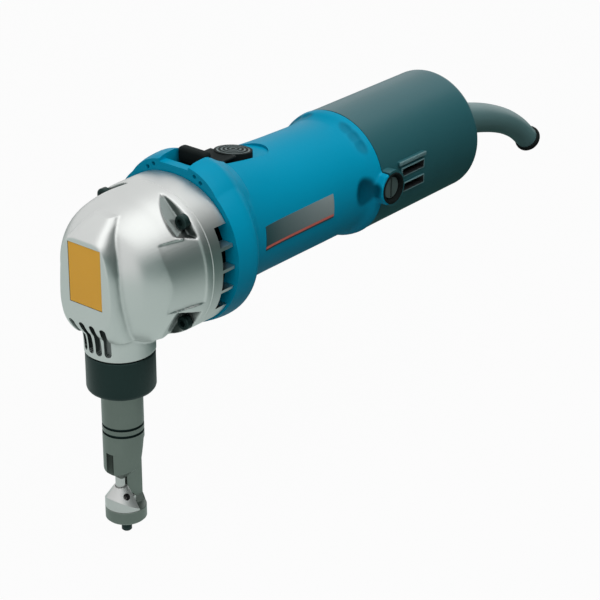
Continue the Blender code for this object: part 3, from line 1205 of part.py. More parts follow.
mount_on(root, field_stator(), field_coil("field_coil_left", 1), field_coil("field_coil_right", -1),
         baffle_ring(), motor_housing())
for word, side in (("left", -1), ("right", 1)):
    mount_on(root, brush_holder("brush_holder_" + word, side), carbon_brush("carbon_brush_" + word, side),
             brush_cap("brush_cap_" + word, side))
mount_on(switch_way, switch_knob(), switch_link())
mount_on(root, switch_body(), rear_cover(), rear_cover_screw(), cord_guard())

# The middle of the underside becomes the origin
bpy.context.view_layer.update()
view = bpy.context.evaluated_depsgraph_get()
low_corner = Vector((FAR * 9, FAR * 9, FAR * 9))
high_corner = -low_corner
for piece in parts.objects:
    if piece.type == "EMPTY":
        continue
    seen = piece.evaluated_get(view)
    for point in seen.to_mesh().vertices:
        spot = seen.matrix_world @ point.co
        low_corner = Vector(map(min, low_corner, spot))
        high_corner = Vector(map(max, high_corner, spot))
    seen.to_mesh_clear()
root.location = (-(low_corner.x + high_corner.x) / 2, -(low_corner.y + high_corner.y) / 2, -low_corner.z)
print("origin of the drawing frame", [round(value, 6) for value in root.location])
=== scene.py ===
import math

import bmesh
import bpy
from mathutils import Matrix, Vector


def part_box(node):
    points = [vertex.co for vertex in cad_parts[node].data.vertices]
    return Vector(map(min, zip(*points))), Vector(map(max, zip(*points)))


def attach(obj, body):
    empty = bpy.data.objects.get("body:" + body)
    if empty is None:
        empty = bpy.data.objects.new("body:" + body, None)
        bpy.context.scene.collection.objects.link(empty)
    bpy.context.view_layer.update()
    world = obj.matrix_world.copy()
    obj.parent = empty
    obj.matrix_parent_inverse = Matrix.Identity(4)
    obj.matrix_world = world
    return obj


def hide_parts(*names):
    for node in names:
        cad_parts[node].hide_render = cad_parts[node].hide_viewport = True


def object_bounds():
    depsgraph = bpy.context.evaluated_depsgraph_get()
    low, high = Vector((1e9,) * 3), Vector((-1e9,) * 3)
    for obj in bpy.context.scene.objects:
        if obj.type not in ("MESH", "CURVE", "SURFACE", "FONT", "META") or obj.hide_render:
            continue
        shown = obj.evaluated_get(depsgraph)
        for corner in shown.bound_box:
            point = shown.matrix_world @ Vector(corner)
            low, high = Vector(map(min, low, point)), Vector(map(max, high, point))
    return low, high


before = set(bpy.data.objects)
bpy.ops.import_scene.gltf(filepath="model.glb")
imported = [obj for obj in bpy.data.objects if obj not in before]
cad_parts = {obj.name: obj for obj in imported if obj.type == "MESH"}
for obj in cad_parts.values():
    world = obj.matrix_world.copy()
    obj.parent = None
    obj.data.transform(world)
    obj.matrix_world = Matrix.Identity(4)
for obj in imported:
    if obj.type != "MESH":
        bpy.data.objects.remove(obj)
cad_low, cad_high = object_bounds()


# The tool stands on its die bolt, with the neck upright and the motor lying level.
# Every piece is drawn about the neck axis, in metres, with the underside of the foot at
# height zero, and is then carried to this place.
nut_low, nut_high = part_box("lock_nut")
core_low, core_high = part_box("armature_core")
home = Vector(((nut_low.x + nut_high.x) / 2, 0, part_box("die_holder")[0].z))
motor_z = (core_low.z + core_high.z) / 2 - home.z


# Drive and motor: shafts, gear, crank, yoke, windings and brushes, closed in by the housings.
# They are turned and ground steel, laminated iron, copper wire, sintered bronze, brass tube
# and pressed carbon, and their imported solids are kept.
def grain_group():
    """Fine grain and broad mottling over an object, both from 0 to 1."""
    group = bpy.data.node_groups.new("surface_grain", "ShaderNodeTree")
    for name, start in (("Grain Scale", 900.0), ("Mottle Scale", 40.0)):
        socket = group.interface.new_socket(name, in_out="INPUT", socket_type="NodeSocketFloat")
        socket.default_value = start
    for name in ("Grain", "Mottle"):
        group.interface.new_socket(name, in_out="OUTPUT", socket_type="NodeSocketFloat")
    nodes, links = group.nodes, group.links
    inputs, outputs = nodes.new("NodeGroupInput"), nodes.new("NodeGroupOutput")
    place = nodes.new("ShaderNodeTexCoord")
    for scale, output, detail in (("Grain Scale", "Grain", 2.0), ("Mottle Scale", "Mottle", 4.0)):
        noise = nodes.new("ShaderNodeTexNoise")
        noise.inputs["Detail"].default_value = detail
        links.new(place.outputs["Object"], noise.inputs["Vector"])
        links.new(inputs.outputs[scale], noise.inputs["Scale"])
        links.new(noise.outputs["Fac"], outputs.inputs[output])
    return group


surface_grain = grain_group()


def surface(name, colour, roughness, metallic=0.0, mottle=0.08, grain=900.0, broad=40.0, depth=0.00002,
            spread=0.10, specular=0.5):
    """A finish whose colour, gloss and height all vary with the grain of the material."""
    made = bpy.data.materials.new(name)
    made.use_nodes = True
    nodes, links = made.node_tree.nodes, made.node_tree.links
    shader = nodes["Principled BSDF"]
    shader.inputs["Metallic"].default_value = metallic
    shader.inputs["Specular IOR Level"].default_value = specular
    group = nodes.new("ShaderNodeGroup")
    group.node_tree = surface_grain
    group.inputs["Grain Scale"].default_value = grain
    group.inputs["Mottle Scale"].default_value = broad
    tint = nodes.new("ShaderNodeMix")
    tint.data_type = "RGBA"
    tint.inputs["A"].default_value = [c * (1 - mottle) for c in colour] + [1]
    tint.inputs["B"].default_value = [min(c * (1 + mottle), 1) for c in colour] + [1]
    links.new(group.outputs["Mottle"], tint.inputs["Factor"])
    links.new(tint.outputs["Result"], shader.inputs["Base Color"])
    gloss = nodes.new("ShaderNodeMapRange")
    gloss.inputs["To Min"].default_value = max(roughness - spread, 0.02)
    gloss.inputs["To Max"].default_value = min(roughness + spread, 1)
    links.new(group.outputs["Grain"], gloss.inputs["Value"])
    links.new(gloss.outputs["Result"], shader.inputs["Roughness"])
    relief = nodes.new("ShaderNodeBump")
    relief.inputs["Distance"].default_value = depth
    links.new(group.outputs["Grain"], relief.inputs["Height"])
    links.new(relief.outputs["Normal"], shader.inputs["Normal"])
    return made


steel = surface("ground_steel", (0.23, 0.23, 0.22), 0.34, 1.0, grain=1500.0)
race_steel = surface("bearing_steel", (0.56, 0.56, 0.55), 0.22, 1.0)
iron = surface("laminated_iron", (0.15, 0.15, 0.16), 0.46, 0.9, grain=700.0)
copper = surface("enamelled_copper", (0.55, 0.22, 0.10), 0.35, 0.9, grain=1200.0)
bronze = surface("sintered_bronze", (0.42, 0.28, 0.14), 0.45, 1.0)
brass = surface("brush_tube_brass", (0.62, 0.44, 0.18), 0.32, 1.0)
carbon = surface("pressed_carbon", (0.03, 0.03, 0.03), 0.75)
# The same black is also laid on the hollows of other pieces as painted shade.
black_and_painted_shade = surface("black_moulding_and_painted_shade", (0.012, 0.013, 0.014), 0.55, mottle=0.15)
inner_finishes = {
    steel: ("ram", "yoke", "crank_shaft", "drive_gear", "armature_shaft"),
    race_steel: ("crank_roller", "crank_bearing_front", "crank_bearing_rear",
                 "armature_bearing_front", "armature_bearing_rear"),
    iron: ("armature_core", "field_stator"),
    copper: ("armature_winding_front", "armature_winding_rear", "commutator", "field_coil_left",
             "field_coil_right"),
    bronze: ("ram_bush",),
    brass: ("brush_holder_left", "brush_holder_right"),
    carbon: ("carbon_brush_left", "carbon_brush_right"),
    black_and_painted_shade: ("cooling_fan", "baffle_ring", "switch_link", "switch_body"),
}
for finish, names in inner_finishes.items():
    for name in names:
        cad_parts[name].data.materials.clear()
        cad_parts[name].data.materials.append(finish)


# Gear housing: an aluminium pressure casting, bead blasted to a soft satin grey. A blunt dome
# carries a nose with a flat pad in front and the neck below; the four screws that hold it sink
# into pockets at its corners, and slots in the neck let grease and heat out.
def squared(u, v, power):
    """A point of the unit circle, pushed out towards a square with soft corners."""
    return math.copysign(abs(u) ** (2 / power), u), math.copysign(abs(v) ** (2 / power), v)


def eased(stations, steps=5):
    """More stations on a smooth curve through the given ones."""
    stops = [Vector(s) for s in stations]
    run = []
    for index in range(len(stops) - 1):
        start, end = stops[index], stops[index + 1]
        before = stops[index - 1] if index else start * 2 - end
        after = stops[index + 2] if index + 2 < len(stops) else end * 2 - start
        for step in range(steps):
            t = step / steps
            bend = before * 2 - start * 5 + end * 4 - after
            twist = start * 3 - before - end * 3 + after
            run.append((start * 2 + (end - before) * t + bend * t * t + twist * t ** 3) / 2)
    return run + [stops[-1]]


def skin(places, sides=96):
    """A closed skin over a row of rings; each entry places a point of the unit circle."""
    form = bmesh.new()
    loops = []
    for place in places:
        verts = bmesh.ops.create_circle(form, segments=sides, radius=1)["verts"]
        for v in verts:
            v.co = place(v.co.x, v.co.y)
        loops.append(list({e for v in verts for e in v.link_edges}))
    for near, far in zip(loops, loops[1:]):
        bmesh.ops.bridge_loops(form, edges=near + far)
    for end in (loops[0], loops[-1]):
        bmesh.ops.edgeloop_fill(form, edges=end)
    bmesh.ops.recalc_face_normals(form, faces=form.faces)
    return form


def barrel(stations, power, sides=96):
    """A lying barrel through stations of place, half width, height above and depth below."""
    def ring(x, half, above, below):
        def place(u, v):
            u, v = squared(u, v, power)
            return Vector((x, half * u, motor_z + (above if v > 0 else below) * v))
        return place
    return skin([ring(*s) for s in stations], sides)


def rod(radius, start, end, place=(0, 0, 0), axis="Z", sides=64):
    """A round bar along an axis, from start to end on it."""
    turn = {"X": Matrix.Rotation(math.pi / 2, 4, "Y"), "Y": Matrix.Rotation(-math.pi / 2, 4, "X"),
            "Z": Matrix.Identity(4)}[axis]
    form = bmesh.new()
    middle = Matrix.Translation(Vector(place)) @ turn @ Matrix.Translation((0, 0, (start + end) / 2))
    bmesh.ops.create_cone(form, cap_ends=True, segments=sides, radius1=radius, radius2=radius,
                          depth=end - start, matrix=middle)
    return form


def block(low, high, round_by=0.0, steps=3):
    """A block between two corners, with its edges rounded if asked."""
    low, high = Vector(low), Vector(high)
    form = bmesh.new()
    size = Matrix.Diagonal((*(high - low), 1))
    bmesh.ops.create_cube(form, size=1, matrix=Matrix.Translation((low + high) / 2) @ size)
    if round_by:
        bmesh.ops.bevel(form, geom=form.edges, offset=round_by, segments=steps, profile=0.5, material=-1,
                        affect="EDGES")
    return form


def spike(start, end, first, last, sides=40):
    """A round taper from one point to another."""
    start, end = Vector(start), Vector(end)
    form = bmesh.new()
    turn = Vector((0, 0, 1)).rotation_difference(end - start).to_matrix().to_4x4()
    middle = Matrix.Translation((start + end) / 2) @ turn
    bmesh.ops.create_cone(form, cap_ends=True, segments=sides, radius1=first, radius2=last,
                          depth=(end - start).length, matrix=middle)
    return form


def prism(corners, push):
    """A flat outline pushed out into a solid."""
    form = bmesh.new()
    base = form.faces.new([form.verts.new(corner) for corner in corners])
    pushed = bmesh.ops.extrude_face_region(form, geom=[base], use_keep_orig=True)
    moved = [v for v in pushed["geom"] if isinstance(v, bmesh.types.BMVert)]
    bmesh.ops.translate(form, verts=moved, vec=push)
    bmesh.ops.recalc_face_normals(form, faces=form.faces)
    return form


def turned(profile, place=(0, 0, 0), axis="Z", sides=96):
    """A profile of (radius, place along the axis) turned about that axis."""
    form = bmesh.new()
    points = [form.verts.new((radius, 0, along)) for radius, along in profile]
    for first, second in zip(points, points[1:] + points[:1]):
        form.edges.new((first, second))
    bmesh.ops.spin(form, geom=form.verts[:] + form.edges[:], axis=(0, 0, 1), cent=(0, 0, 0),
                   angle=2 * math.pi, steps=sides, use_merge=True)
    bmesh.ops.remove_doubles(form, verts=form.verts, dist=1e-7)
    bmesh.ops.dissolve_degenerate(form, dist=1e-7, edges=form.edges)
    if axis == "X":
        bmesh.ops.rotate(form, verts=form.verts, matrix=Matrix.Rotation(math.pi / 2, 3, "Y"))
    if axis == "Y":
        bmesh.ops.rotate(form, verts=form.verts, matrix=Matrix.Rotation(-math.pi / 2, 3, "X"))
    bmesh.ops.translate(form, verts=form.verts, vec=place)
    bmesh.ops.recalc_face_normals(form, faces=form.faces)
    return form


def as_object(form, name):
    """An object of the scene, made of a form."""
    mesh = bpy.data.meshes.new(name)
    form.to_mesh(mesh)
    form.free()
    made = bpy.data.objects.new(name, mesh)
    bpy.context.scene.collection.objects.link(made)
    return made


def taken(work, *tools):
    """The worked form, with the bench cleared."""
    bpy.context.view_layer.update()
    result = bmesh.new()
    result.from_object(work, bpy.context.evaluated_depsgraph_get())
    for used in (work, *tools):
        mesh = used.data
        bpy.data.objects.remove(used)
        bpy.data.meshes.remove(mesh)
    return result


def worked(form, operation, *shapes):
    """A form with shapes joined to it or cut from it."""
    work = as_object(form, "bench_work")
    tools = [as_object(shape, "bench_tool") for shape in shapes]
    for tool in tools:
        step = work.modifiers.new("step", "BOOLEAN")
        step.operation = operation
        step.solver = "EXACT"
        step.object = tool
    return taken(work, *tools)


def cast(form, voxel, passes):
    """The form as it leaves a mould, with every edge and corner run soft."""
    work = as_object(form, "bench_work")
    melt = work.modifiers.new("melt", "REMESH")
    melt.mode = "VOXEL"
    melt.voxel_size = voxel
    blast = work.modifiers.new("blast", "SMOOTH")
    blast.factor = 0.5
    blast.iterations = passes
    return taken(work)


def trimmed(form, place, outward):
    """The form cut off square at a plane, with the cut closed."""
    geometry = form.verts[:] + form.edges[:] + form.faces[:]
    cut = bmesh.ops.bisect_plane(form, geom=geometry, dist=1e-7, plane_co=place, plane_no=outward,
                                 clear_outer=True)
    edges = [e for e in cut["geom_cut"] if isinstance(e, bmesh.types.BMEdge)]
    bmesh.ops.holes_fill(form, edges=edges, sides=0)
    return form


def settle(form, name, finish, body, slot, *nodes, crease=32.0):
    """A finished piece at its place in the tool, riding on its body."""
    bmesh.ops.translate(form, verts=form.verts, vec=home)
    piece = as_object(form, name)
    piece.data.shade_smooth()
    piece.data.set_sharp_from_angle(angle=math.radians(crease))
    piece.data.materials.append(finish)
    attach(piece, body)
    if nodes:
        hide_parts(*nodes)
    return piece


def lined(piece, finish, inside):
    """Gives the faces whose middle passes the test a second finish."""
    piece.data.materials.append(finish)
    for face in piece.data.polygons:
        if inside(face.center - home, face.normal):
            face.material_index = len(piece.data.materials) - 1


# Stations of place along the motor, half width, height above and depth below the motor line
dome = [
    (0.0280, 0.0386, 0.0371, 0.0386), (0.0246, 0.0386, 0.0371, 0.0386), (0.0206, 0.0384, 0.0369, 0.0385),
    (0.0135, 0.0374, 0.0359, 0.0380), (0.0080, 0.0360, 0.0346, 0.0375), (0.0020, 0.0346, 0.0335, 0.0366),
    (-0.0040, 0.0321, 0.0315, 0.0347), (-0.0100, 0.0279, 0.0276, 0.0310),
    (-0.0140, 0.0229, 0.0226, 0.0252), (-0.0165, 0.0180, 0.0178, 0.0188),
    (-0.0175, 0.0120, 0.0120, 0.0124)]
# Levels of rise over the motor line, front edge and half width
nose = [
    (-0.0281, -0.0174, 0.0171), (-0.0241, -0.0203, 0.0177), (-0.0191, -0.0224, 0.0184),
    (-0.0121, -0.0236, 0.0188), (-0.0051, -0.0240, 0.0185), (0.0060, -0.0242, 0.0175),
    (0.0120, -0.0244, 0.0162), (0.0170, -0.0246, 0.0146), (0.0212, -0.0236, 0.0126),
    (0.0250, -0.0196, 0.0106), (0.0285, -0.0146, 0.0086), (0.0314, -0.0095, 0.0062)]
throat = [
    (-0.0430, -0.0170, 0.0170), (-0.0360, -0.0171, 0.0170), (-0.0310, -0.0175, 0.0171),
    (-0.0260, -0.0186, 0.0172), (-0.0210, -0.0204, 0.0174), (-0.0170, -0.0214, 0.0170)]
head_square, nose_square, throat_square = 2.15, 5.0, 2.1
nose_rear, neck_radius = 0.0065, 0.0170


def nose_ring(rise, front, half, rear, power):
    """A level outline of the nose or the throat, from its front edge to its rear one."""
    def place(u, v):
        u, v = squared(u, v, power)
        return Vector(((front + rear) / 2 + (rear - front) / 2 * u, half * v, motor_z + rise))
    return place


pad_face, neck_end, neck_top = -0.0221, 0.0931, 0.1162
rim_front, rim_rear = 0.0206, 0.0246
screw_side, screw_up, spot_radius, spot_floor = 0.0252, 0.0260, 0.0043, 0.0140
far = 0.1
casting = barrel(eased(dome), head_square)
casting = worked(casting, "UNION",
                 skin([nose_ring(*level, nose_rear, nose_square) for level in eased(nose)], 72),
                 skin([nose_ring(*level, neck_radius, throat_square) for level in eased(throat)], 72),
                 rod(neck_radius, 0.0900, neck_top, sides=96))
cuts = [block((-far, -far, 0), (pad_face, far, far * 2))]
# Each pocket: which way its ledge faces, and three points of its slanting wall
pockets = [(-1, (0.0090, 0.0288, 0.0222), (rim_front, 0.0230, 0.0230), (0.0178, 0.0123, 0.0345)),
           (1, (0.0060, 0.0325, -0.0140), (rim_front, 0.0262, -0.0152), (0.0165, 0.0150, -0.0352))]
ledge_slope = 0.29
cheek_front, cheek_drop, cheek_rise = -0.0006, 0.0130, 0.0208
taper_front, taper_rear, taper_first, taper_last = -0.0050, 0.0250, 0.0331, 0.0391
for side in (-1, 1):
    near, out = sorted((0, side * far))
    for ledge, *wall in pockets:
        left, deep, tip = [Vector((x, side * y, motor_z + z)) for x, y, z in wall]
        inward = (deep - left).cross(tip - left)
        if inward.y * side > 0:
            inward.negate()
        hollow = trimmed(block((-far / 2, near, 0), (rim_front, out, far * 3)), left, inward)
        cuts.append(trimmed(hollow, left, (ledge * ledge_slope, 0, ledge)))
    for up in (-1, 1):
        spot = (0, side * screw_side, motor_z + up * screw_up)
        cuts.append(rod(spot_radius, spot_floor, rim_front, spot, "X", 40))
    cheek = block((cheek_front, near, motor_z - cheek_drop), (rim_front, out, motor_z + cheek_rise))
    taper = spike((taper_front, 0, motor_z), (taper_rear, 0, motor_z), taper_first, taper_last, 128)
    cuts.append(worked(cheek, "DIFFERENCE", taper))
casting = worked(casting, "DIFFERENCE", *cuts)
casting = cast(casting, voxel=0.0005, passes=3)
casting = trimmed(casting, (rim_rear, 0, 0), (1, 0, 0))
casting = trimmed(casting, (0, 0, neck_end), (0, 0, -1))
gear_bore, neck_bore = 0.0315, 0.0132
plate_near, plate_away, plate_low, plate_high, plate_gap = -0.0109, 0.0097, 0.1231, 0.1533, 0.0002
cuts = [rod(gear_bore, 0.0130, far, (0, 0, motor_z), "X"), rod(neck_bore, 0.0800, 0.1130),
        block((-far, plate_near - plate_gap, plate_low - plate_gap),
              (pad_face + 0.0005, plate_away + plate_gap, plate_high + plate_gap))]
slot_low, slot_high, slot_half, slot_floor = 0.0955, 0.1134, 0.0018, -0.0138
for angle in (-25, -8.5, 8.5, 25):
    slot = rod(slot_half, -0.030, slot_floor, (0, 0, 0), "X", 24)
    for v in slot.verts:
        v.co.z += slot_high - slot_half if v.co.z > 0 else slot_low + slot_half
    bmesh.ops.rotate(slot, verts=slot.verts, matrix=Matrix.Rotation(math.radians(angle), 3, "Z"))
    cuts.append(slot)
casting = worked(casting, "DIFFERENCE", *cuts)
aluminium = surface("blasted_aluminium", (0.60, 0.615, 0.605), 0.40, 1.0, mottle=0.03, grain=1400.0,
                    broad=60.0, depth=0.00003, spread=0.05)


def overlaid(made, colour, mask):
    """Puts a second colour over a finish where the mask is one."""
    nodes, links = made.node_tree.nodes, made.node_tree.links
    shader = nodes["Principled BSDF"]
    paint = nodes.new("ShaderNodeMix")
    paint.data_type = "RGBA"
    paint.inputs["B"].default_value = (*colour, 1)
    links.new(shader.inputs["Base Color"].links[0].from_socket, paint.inputs["A"])
    links.new(mask, paint.inputs["Factor"])
    links.new(paint.outputs["Result"], shader.inputs["Base Color"])


# Painted shade: the aluminium darkens where occlusion finds creases and hollows.
crevice = aluminium.node_tree.nodes.new("ShaderNodeAmbientOcclusion")
crevice.inputs["Distance"].default_value = 0.007
crevice.only_local = True
crevice_shade = aluminium.node_tree.nodes.new("ShaderNodeMapRange")
crevice_shade.inputs["From Min"].default_value = 0.90
crevice_shade.inputs["From Max"].default_value = 0.66
crevice_shade.inputs["To Max"].default_value = 0.9
aluminium.node_tree.links.new(crevice.outputs["AO"], crevice_shade.inputs["Value"])
overlaid(aluminium, (0.07, 0.09, 0.085), crevice_shade.outputs["Result"])
gear_head = settle(casting, "gear_head", aluminium, "housing", "aluminium_casting", "gear_housing")
# Painted shade: a darker grey for the walls of the neck slots and the screw pockets.
aluminium_hollow_shade = surface("painted_shade_in_hollows", (0.27, 0.31, 0.30), 0.55, 0.3, mottle=0.15)


def in_hollow(p, n):
    """The walls of the neck slots and of the screw pockets, painted a darker grey as shade."""
    if slot_low < p.z < slot_high and p.x < -0.0110:
        return math.hypot(p.x, p.y) < neck_radius - 0.0010
    between = abs(p.z - motor_z - 0.0033) < 0.0183 or abs(p.y) < 0.0118
    if between or not 0.0040 < p.x < rim_front - 0.0002:
        return False
    for (rear, wide, *_), (front, narrow, *_) in zip(dome[1:], dome[2:]):
        if p.x >= front:
            full = wide + (narrow - wide) * (p.x - rear) / (front - rear)
            return math.hypot(p.y, p.z - motor_z) < full - 0.0012


lined(gear_head, aluminium_hollow_shade, in_hollow)


# Bearing cover: a second aluminium casting behind the head, turned to match its rim. Ribs leave a
# row of windows on each side, where the fan blows the motor's air out.
cover_front, cover_rear, cover_chamfer = 0.0249, 0.0400, 0.0003
rim = dome[0][1:]
edge = [size - cover_chamfer for size in rim]
cover = barrel([(cover_front, *edge), (cover_front + cover_chamfer, *rim),
                (cover_rear - cover_chamfer, *rim), (cover_rear, *edge)], head_square)
window_low, window_high, window_inner, window_deep = -0.0215, 0.0205, 0.0202, 0.0085
windows, rib = 4, 0.0016
pitch = (window_high - window_low + rib) / windows
fan_room, bearing_bore = 0.0326, 0.0098
cuts = [rod(fan_room, 0.0321, far, (0, 0, motor_z), "X", 96),
        rod(bearing_bore, 0, far, (0, 0, motor_z), "X")]
for side in (-1, 1):
    low, high = sorted((side * window_inner, side * far))
    for index in range(windows):
        bottom = motor_z + window_low + index * pitch
        cuts.append(block((cover_rear - window_deep, low, bottom), (far, high, bottom + pitch - rib)))
cover = worked(cover, "DIFFERENCE", *cuts)
cover = settle(cover, "bearing_cap", aluminium, "housing", "aluminium_casting", "bearing_cover")


def in_window(p, n):
    """The walls inside the windows, painted black as shade; the flat sides of the ribs stay bright."""
    inside = math.hypot(p.y, p.z - motor_z) < 0.0366
    return p.x > 0.0300 and inside and abs(n.z) < 0.7


lined(cover, black_and_painted_shade, in_window)


# Head screws: four socket screws of black steel, cold headed. They sink into the pockets of the
# gear head and pull it and the bearing cover onto the motor housing.
black_oxide = surface("black_oxide_steel", (0.016, 0.034, 0.032), 0.42, 0.6, mottle=0.15, grain=1200.0,
                      specular=0.25)
head_front, head_radius, head_deep, head_chamfer = 0.0168, 0.0036, 0.0033, 0.0005
shank_radius, screw_length, hexagon = 0.0018, 0.0342, 0.0019
for index, (side, up) in enumerate([(-1, 1), (1, 1), (-1, -1), (1, -1)], 1):
    spot = (side * screw_side, motor_z + up * screw_up)
    head = turned([(0, 0), (head_radius - head_chamfer, 0), (head_radius, head_chamfer),
                   (head_radius, head_deep), (shank_radius, head_deep), (shank_radius, screw_length),
                   (0, screw_length)], (head_front, *spot), "X", 48)
    socket = rod(hexagon, 0.0150, 0.0185, (0, *spot), "X", 6)
    settle(worked(head, "DIFFERENCE", socket), f"socket_screw_{index}", black_oxide, "housing",
           "black_oxide", f"head_screw_{index}")


# Lock nut: a turned steel ring, blackened, with a rolled lower edge. It screws up the end of the
# neck and clamps the collar of the die holder.
nut_bottom, nut_top, nut_radius, nut_bore = 0.0720, 0.0920, 0.0170, 0.0143
nut_mouth, nut_step = 0.01055, 0.0758
nut = turned([(nut_bore, nut_top), (nut_radius - 0.0005, nut_top), (nut_radius, nut_top - 0.0005),
              (nut_radius, nut_bottom + 0.0022), (nut_radius - 0.0003, nut_bottom + 0.0012),
              (nut_radius - 0.0009, nut_bottom + 0.0004), (nut_radius - 0.0018, nut_bottom),
              (nut_mouth, nut_bottom), (nut_mouth, nut_step), (nut_bore, nut_step)], sides=128)
settle(nut, "clamp_ring", black_oxide, "nut", "black_oxide", "lock_nut", crease=28)


# Die holder: one piece of tool steel. A tube with two marking grooves comes down to a cone over
# the punch, a thin blade at the back joins it to the round foot, and a slot shows the punch.
holder_radius, holder_end, holder_top = 0.01025, 0.0236, 0.0920
collar_radius, collar_low, collar_high = 0.0136, 0.0761, 0.0797
profile = [(0, holder_top), (holder_radius, holder_top), (holder_radius, collar_high),
           (collar_radius, collar_high), (collar_radius, collar_low), (holder_radius, collar_low)]
grooves, groove_floor = (0.0529, 0.0492), holder_radius - 0.0009
for height in grooves:
    profile += [(holder_radius, height + 0.0007), (groove_floor, height + 0.0006),
                (groove_floor, height - 0.0006), (holder_radius, height - 0.0007)]
profile += [(holder_radius, holder_end), (0, holder_end)]
holder = turned(profile, sides=128)
punch_x, punch_bore, cone_slope = -0.0034, 0.0027, 0.90
reach = holder_radius * 3
cone = turned([(punch_bore, holder_end), (reach, holder_end + cone_slope * reach),
               (reach, holder_end - 0.001), (punch_bore, holder_end - 0.001)], (punch_x, 0, 0))
holder = worked(holder, "DIFFERENCE", cone)
relief_at, relief_slope, relief_top = (0.0022, 0, 0.0374), 3.2, 0.0452
relief = block((-0.0200, -far, 0.0100), (far, far, relief_top))
holder = worked(holder, "DIFFERENCE", trimmed(relief, relief_at, (-relief_slope, 0, 1)))
foot_top = 0.0070
foot = turned([(0, foot_top), (holder_radius - 0.0003, foot_top), (holder_radius, foot_top - 0.0003),
               (holder_radius, 0.0008), (holder_radius - 0.0008, 0), (0, 0)], sides=128)
blade_front, blade_back, blade_half, blade_top = -0.0006, 0.00995, 0.0020, 0.0460
blade = block((blade_front, -blade_half, 0.0035), (blade_back, blade_half, blade_top))
gusset_x, gusset_half, gusset_low, gusset_high = 0.0030, 0.0048, 0.0065, 0.0118
gusset = prism([(gusset_x, -gusset_half, gusset_low), (gusset_x, gusset_half, gusset_low),
                (gusset_x, 0, gusset_high)], (0.0100, 0, 0))
gusset = worked(gusset, "INTERSECT", rod(holder_radius, 0, 0.0300, sides=128))
holder = worked(holder, "UNION", foot, blade, gusset)
ram_bore, bush_bore, bolt_bore, die_slot, view_slot = 0.0063, 0.0083, 0.0022, 0.0039, 0.0023
holder = worked(holder, "DIFFERENCE", block((-far, -die_slot, foot_top), (0.0037, die_slot, 0.0120)),
                rod(ram_bore, 0.0520, 0.0925), rod(bush_bore, 0.0762, 0.0930),
                rod(punch_bore, 0.0226, 0.0590, (punch_x, 0, 0), sides=48),
                block((-far, -view_slot, 0.0226), (punch_x, view_slot, 0.0388)),
                rod(bolt_bore, -0.001, 0.0080, sides=32))
holder_steel = surface("die_holder_steel", (0.17, 0.20, 0.18), 0.38, 0.85, mottle=0.10, grain=1600.0,
                       broad=80.0)
holder = settle(holder, "punch_tube", holder_steel, "die_head", "tool_steel", "die_holder", crease=24)
# Painted shade: the walls and floors of the marking grooves take the black finish.
lined(holder, black_oxide, lambda p, n: any(abs(p.z - height) < 0.00068 for height in grooves))


# Die and die bolt: a hardened cone on the foot with the cutting hole in its tip and a chip hole
# in its flank, held from below by a small black screw.
die_top, die_base, die_tip, die_flare = 0.0186, 0.0073, 0.0034, 0.675
cone = turned([(0, die_top), (die_tip, die_top), (die_tip + die_flare * (die_top - die_base), die_base),
               (0, die_base)], (punch_x, 0, 0), sides=128)
cone = worked(cone, "INTERSECT", rod(holder_radius, 0.0060, 0.0200, sides=128))
die_back, stem_half, stem_back, stem_top = -0.0009, 0.0036, 0.0034, 0.0114
cone = worked(cone, "DIFFERENCE", block((die_back, -far, -far), (far, far, far)))
stem = block((-stem_half, -stem_half, die_base), (stem_back, stem_half, stem_top))
cone = worked(cone, "UNION", stem)
flank = Vector((-0.27, -0.78, 0.56))
chip_at, chip_radius = Vector((-0.0050, -0.0057, 0.0148)), 0.0018
chip = spike(chip_at - flank * 0.005, chip_at + flank * 0.02, chip_radius, chip_radius, 32)
cone = worked(cone, "DIFFERENCE", rod(punch_bore, die_top - 0.006, far, (punch_x, 0, 0), sides=48),
              rod(bolt_bore, -far, 0.0106, sides=32), chip)
bright_steel = surface("polished_steel", (0.58, 0.59, 0.58), 0.30, 0.75, mottle=0.06, grain=1500.0,
                       depth=0.000002, spread=0.03)
cone = settle(cone, "die_cone", bright_steel, "die_head", "bright_steel", "die", crease=24)


def in_chip_hole(p, n):
    """The wall of the chip hole, round the line in which it was drilled; it is painted black as shade."""
    return (p - chip_at).cross(flank).length < chip_radius + 0.00003 and abs(n.dot(flank)) < 0.3


lined(cone, black_and_painted_shade, in_chip_hole)
bolt_top, bolt_radius, bolt_seat, bolt_head, bolt_end = 0.0102, 0.0019, -0.0003, 0.0026, -0.0078
bolt = turned([(0, bolt_top), (bolt_radius, bolt_top), (bolt_radius, bolt_seat), (bolt_head, bolt_seat),
               (bolt_head, bolt_end + 0.0006), (bolt_head - 0.0006, bolt_end), (0, bolt_end)], sides=48)
bolt = worked(bolt, "DIFFERENCE", rod(0.0015, -0.01, -0.0062, sides=6))
settle(bolt, "die_screw", black_oxide, "die_head", "black_oxide", "die_bolt")


# Punch: a bright round pin of ground steel, set in the end of the ram. It runs down through the
# tube and into the die, and nibbles the sheet between them.
punch_radius, punch_top, punch_tip = 0.0024, 0.0685, 0.0170
pin = turned([(0, punch_top), (punch_radius, punch_top), (punch_radius, punch_tip), (0, punch_tip)],
             (punch_x, 0, 0), sides=64)
settle(pin, "punch_pin", bright_steel, "ram", "bright_steel", "punch")


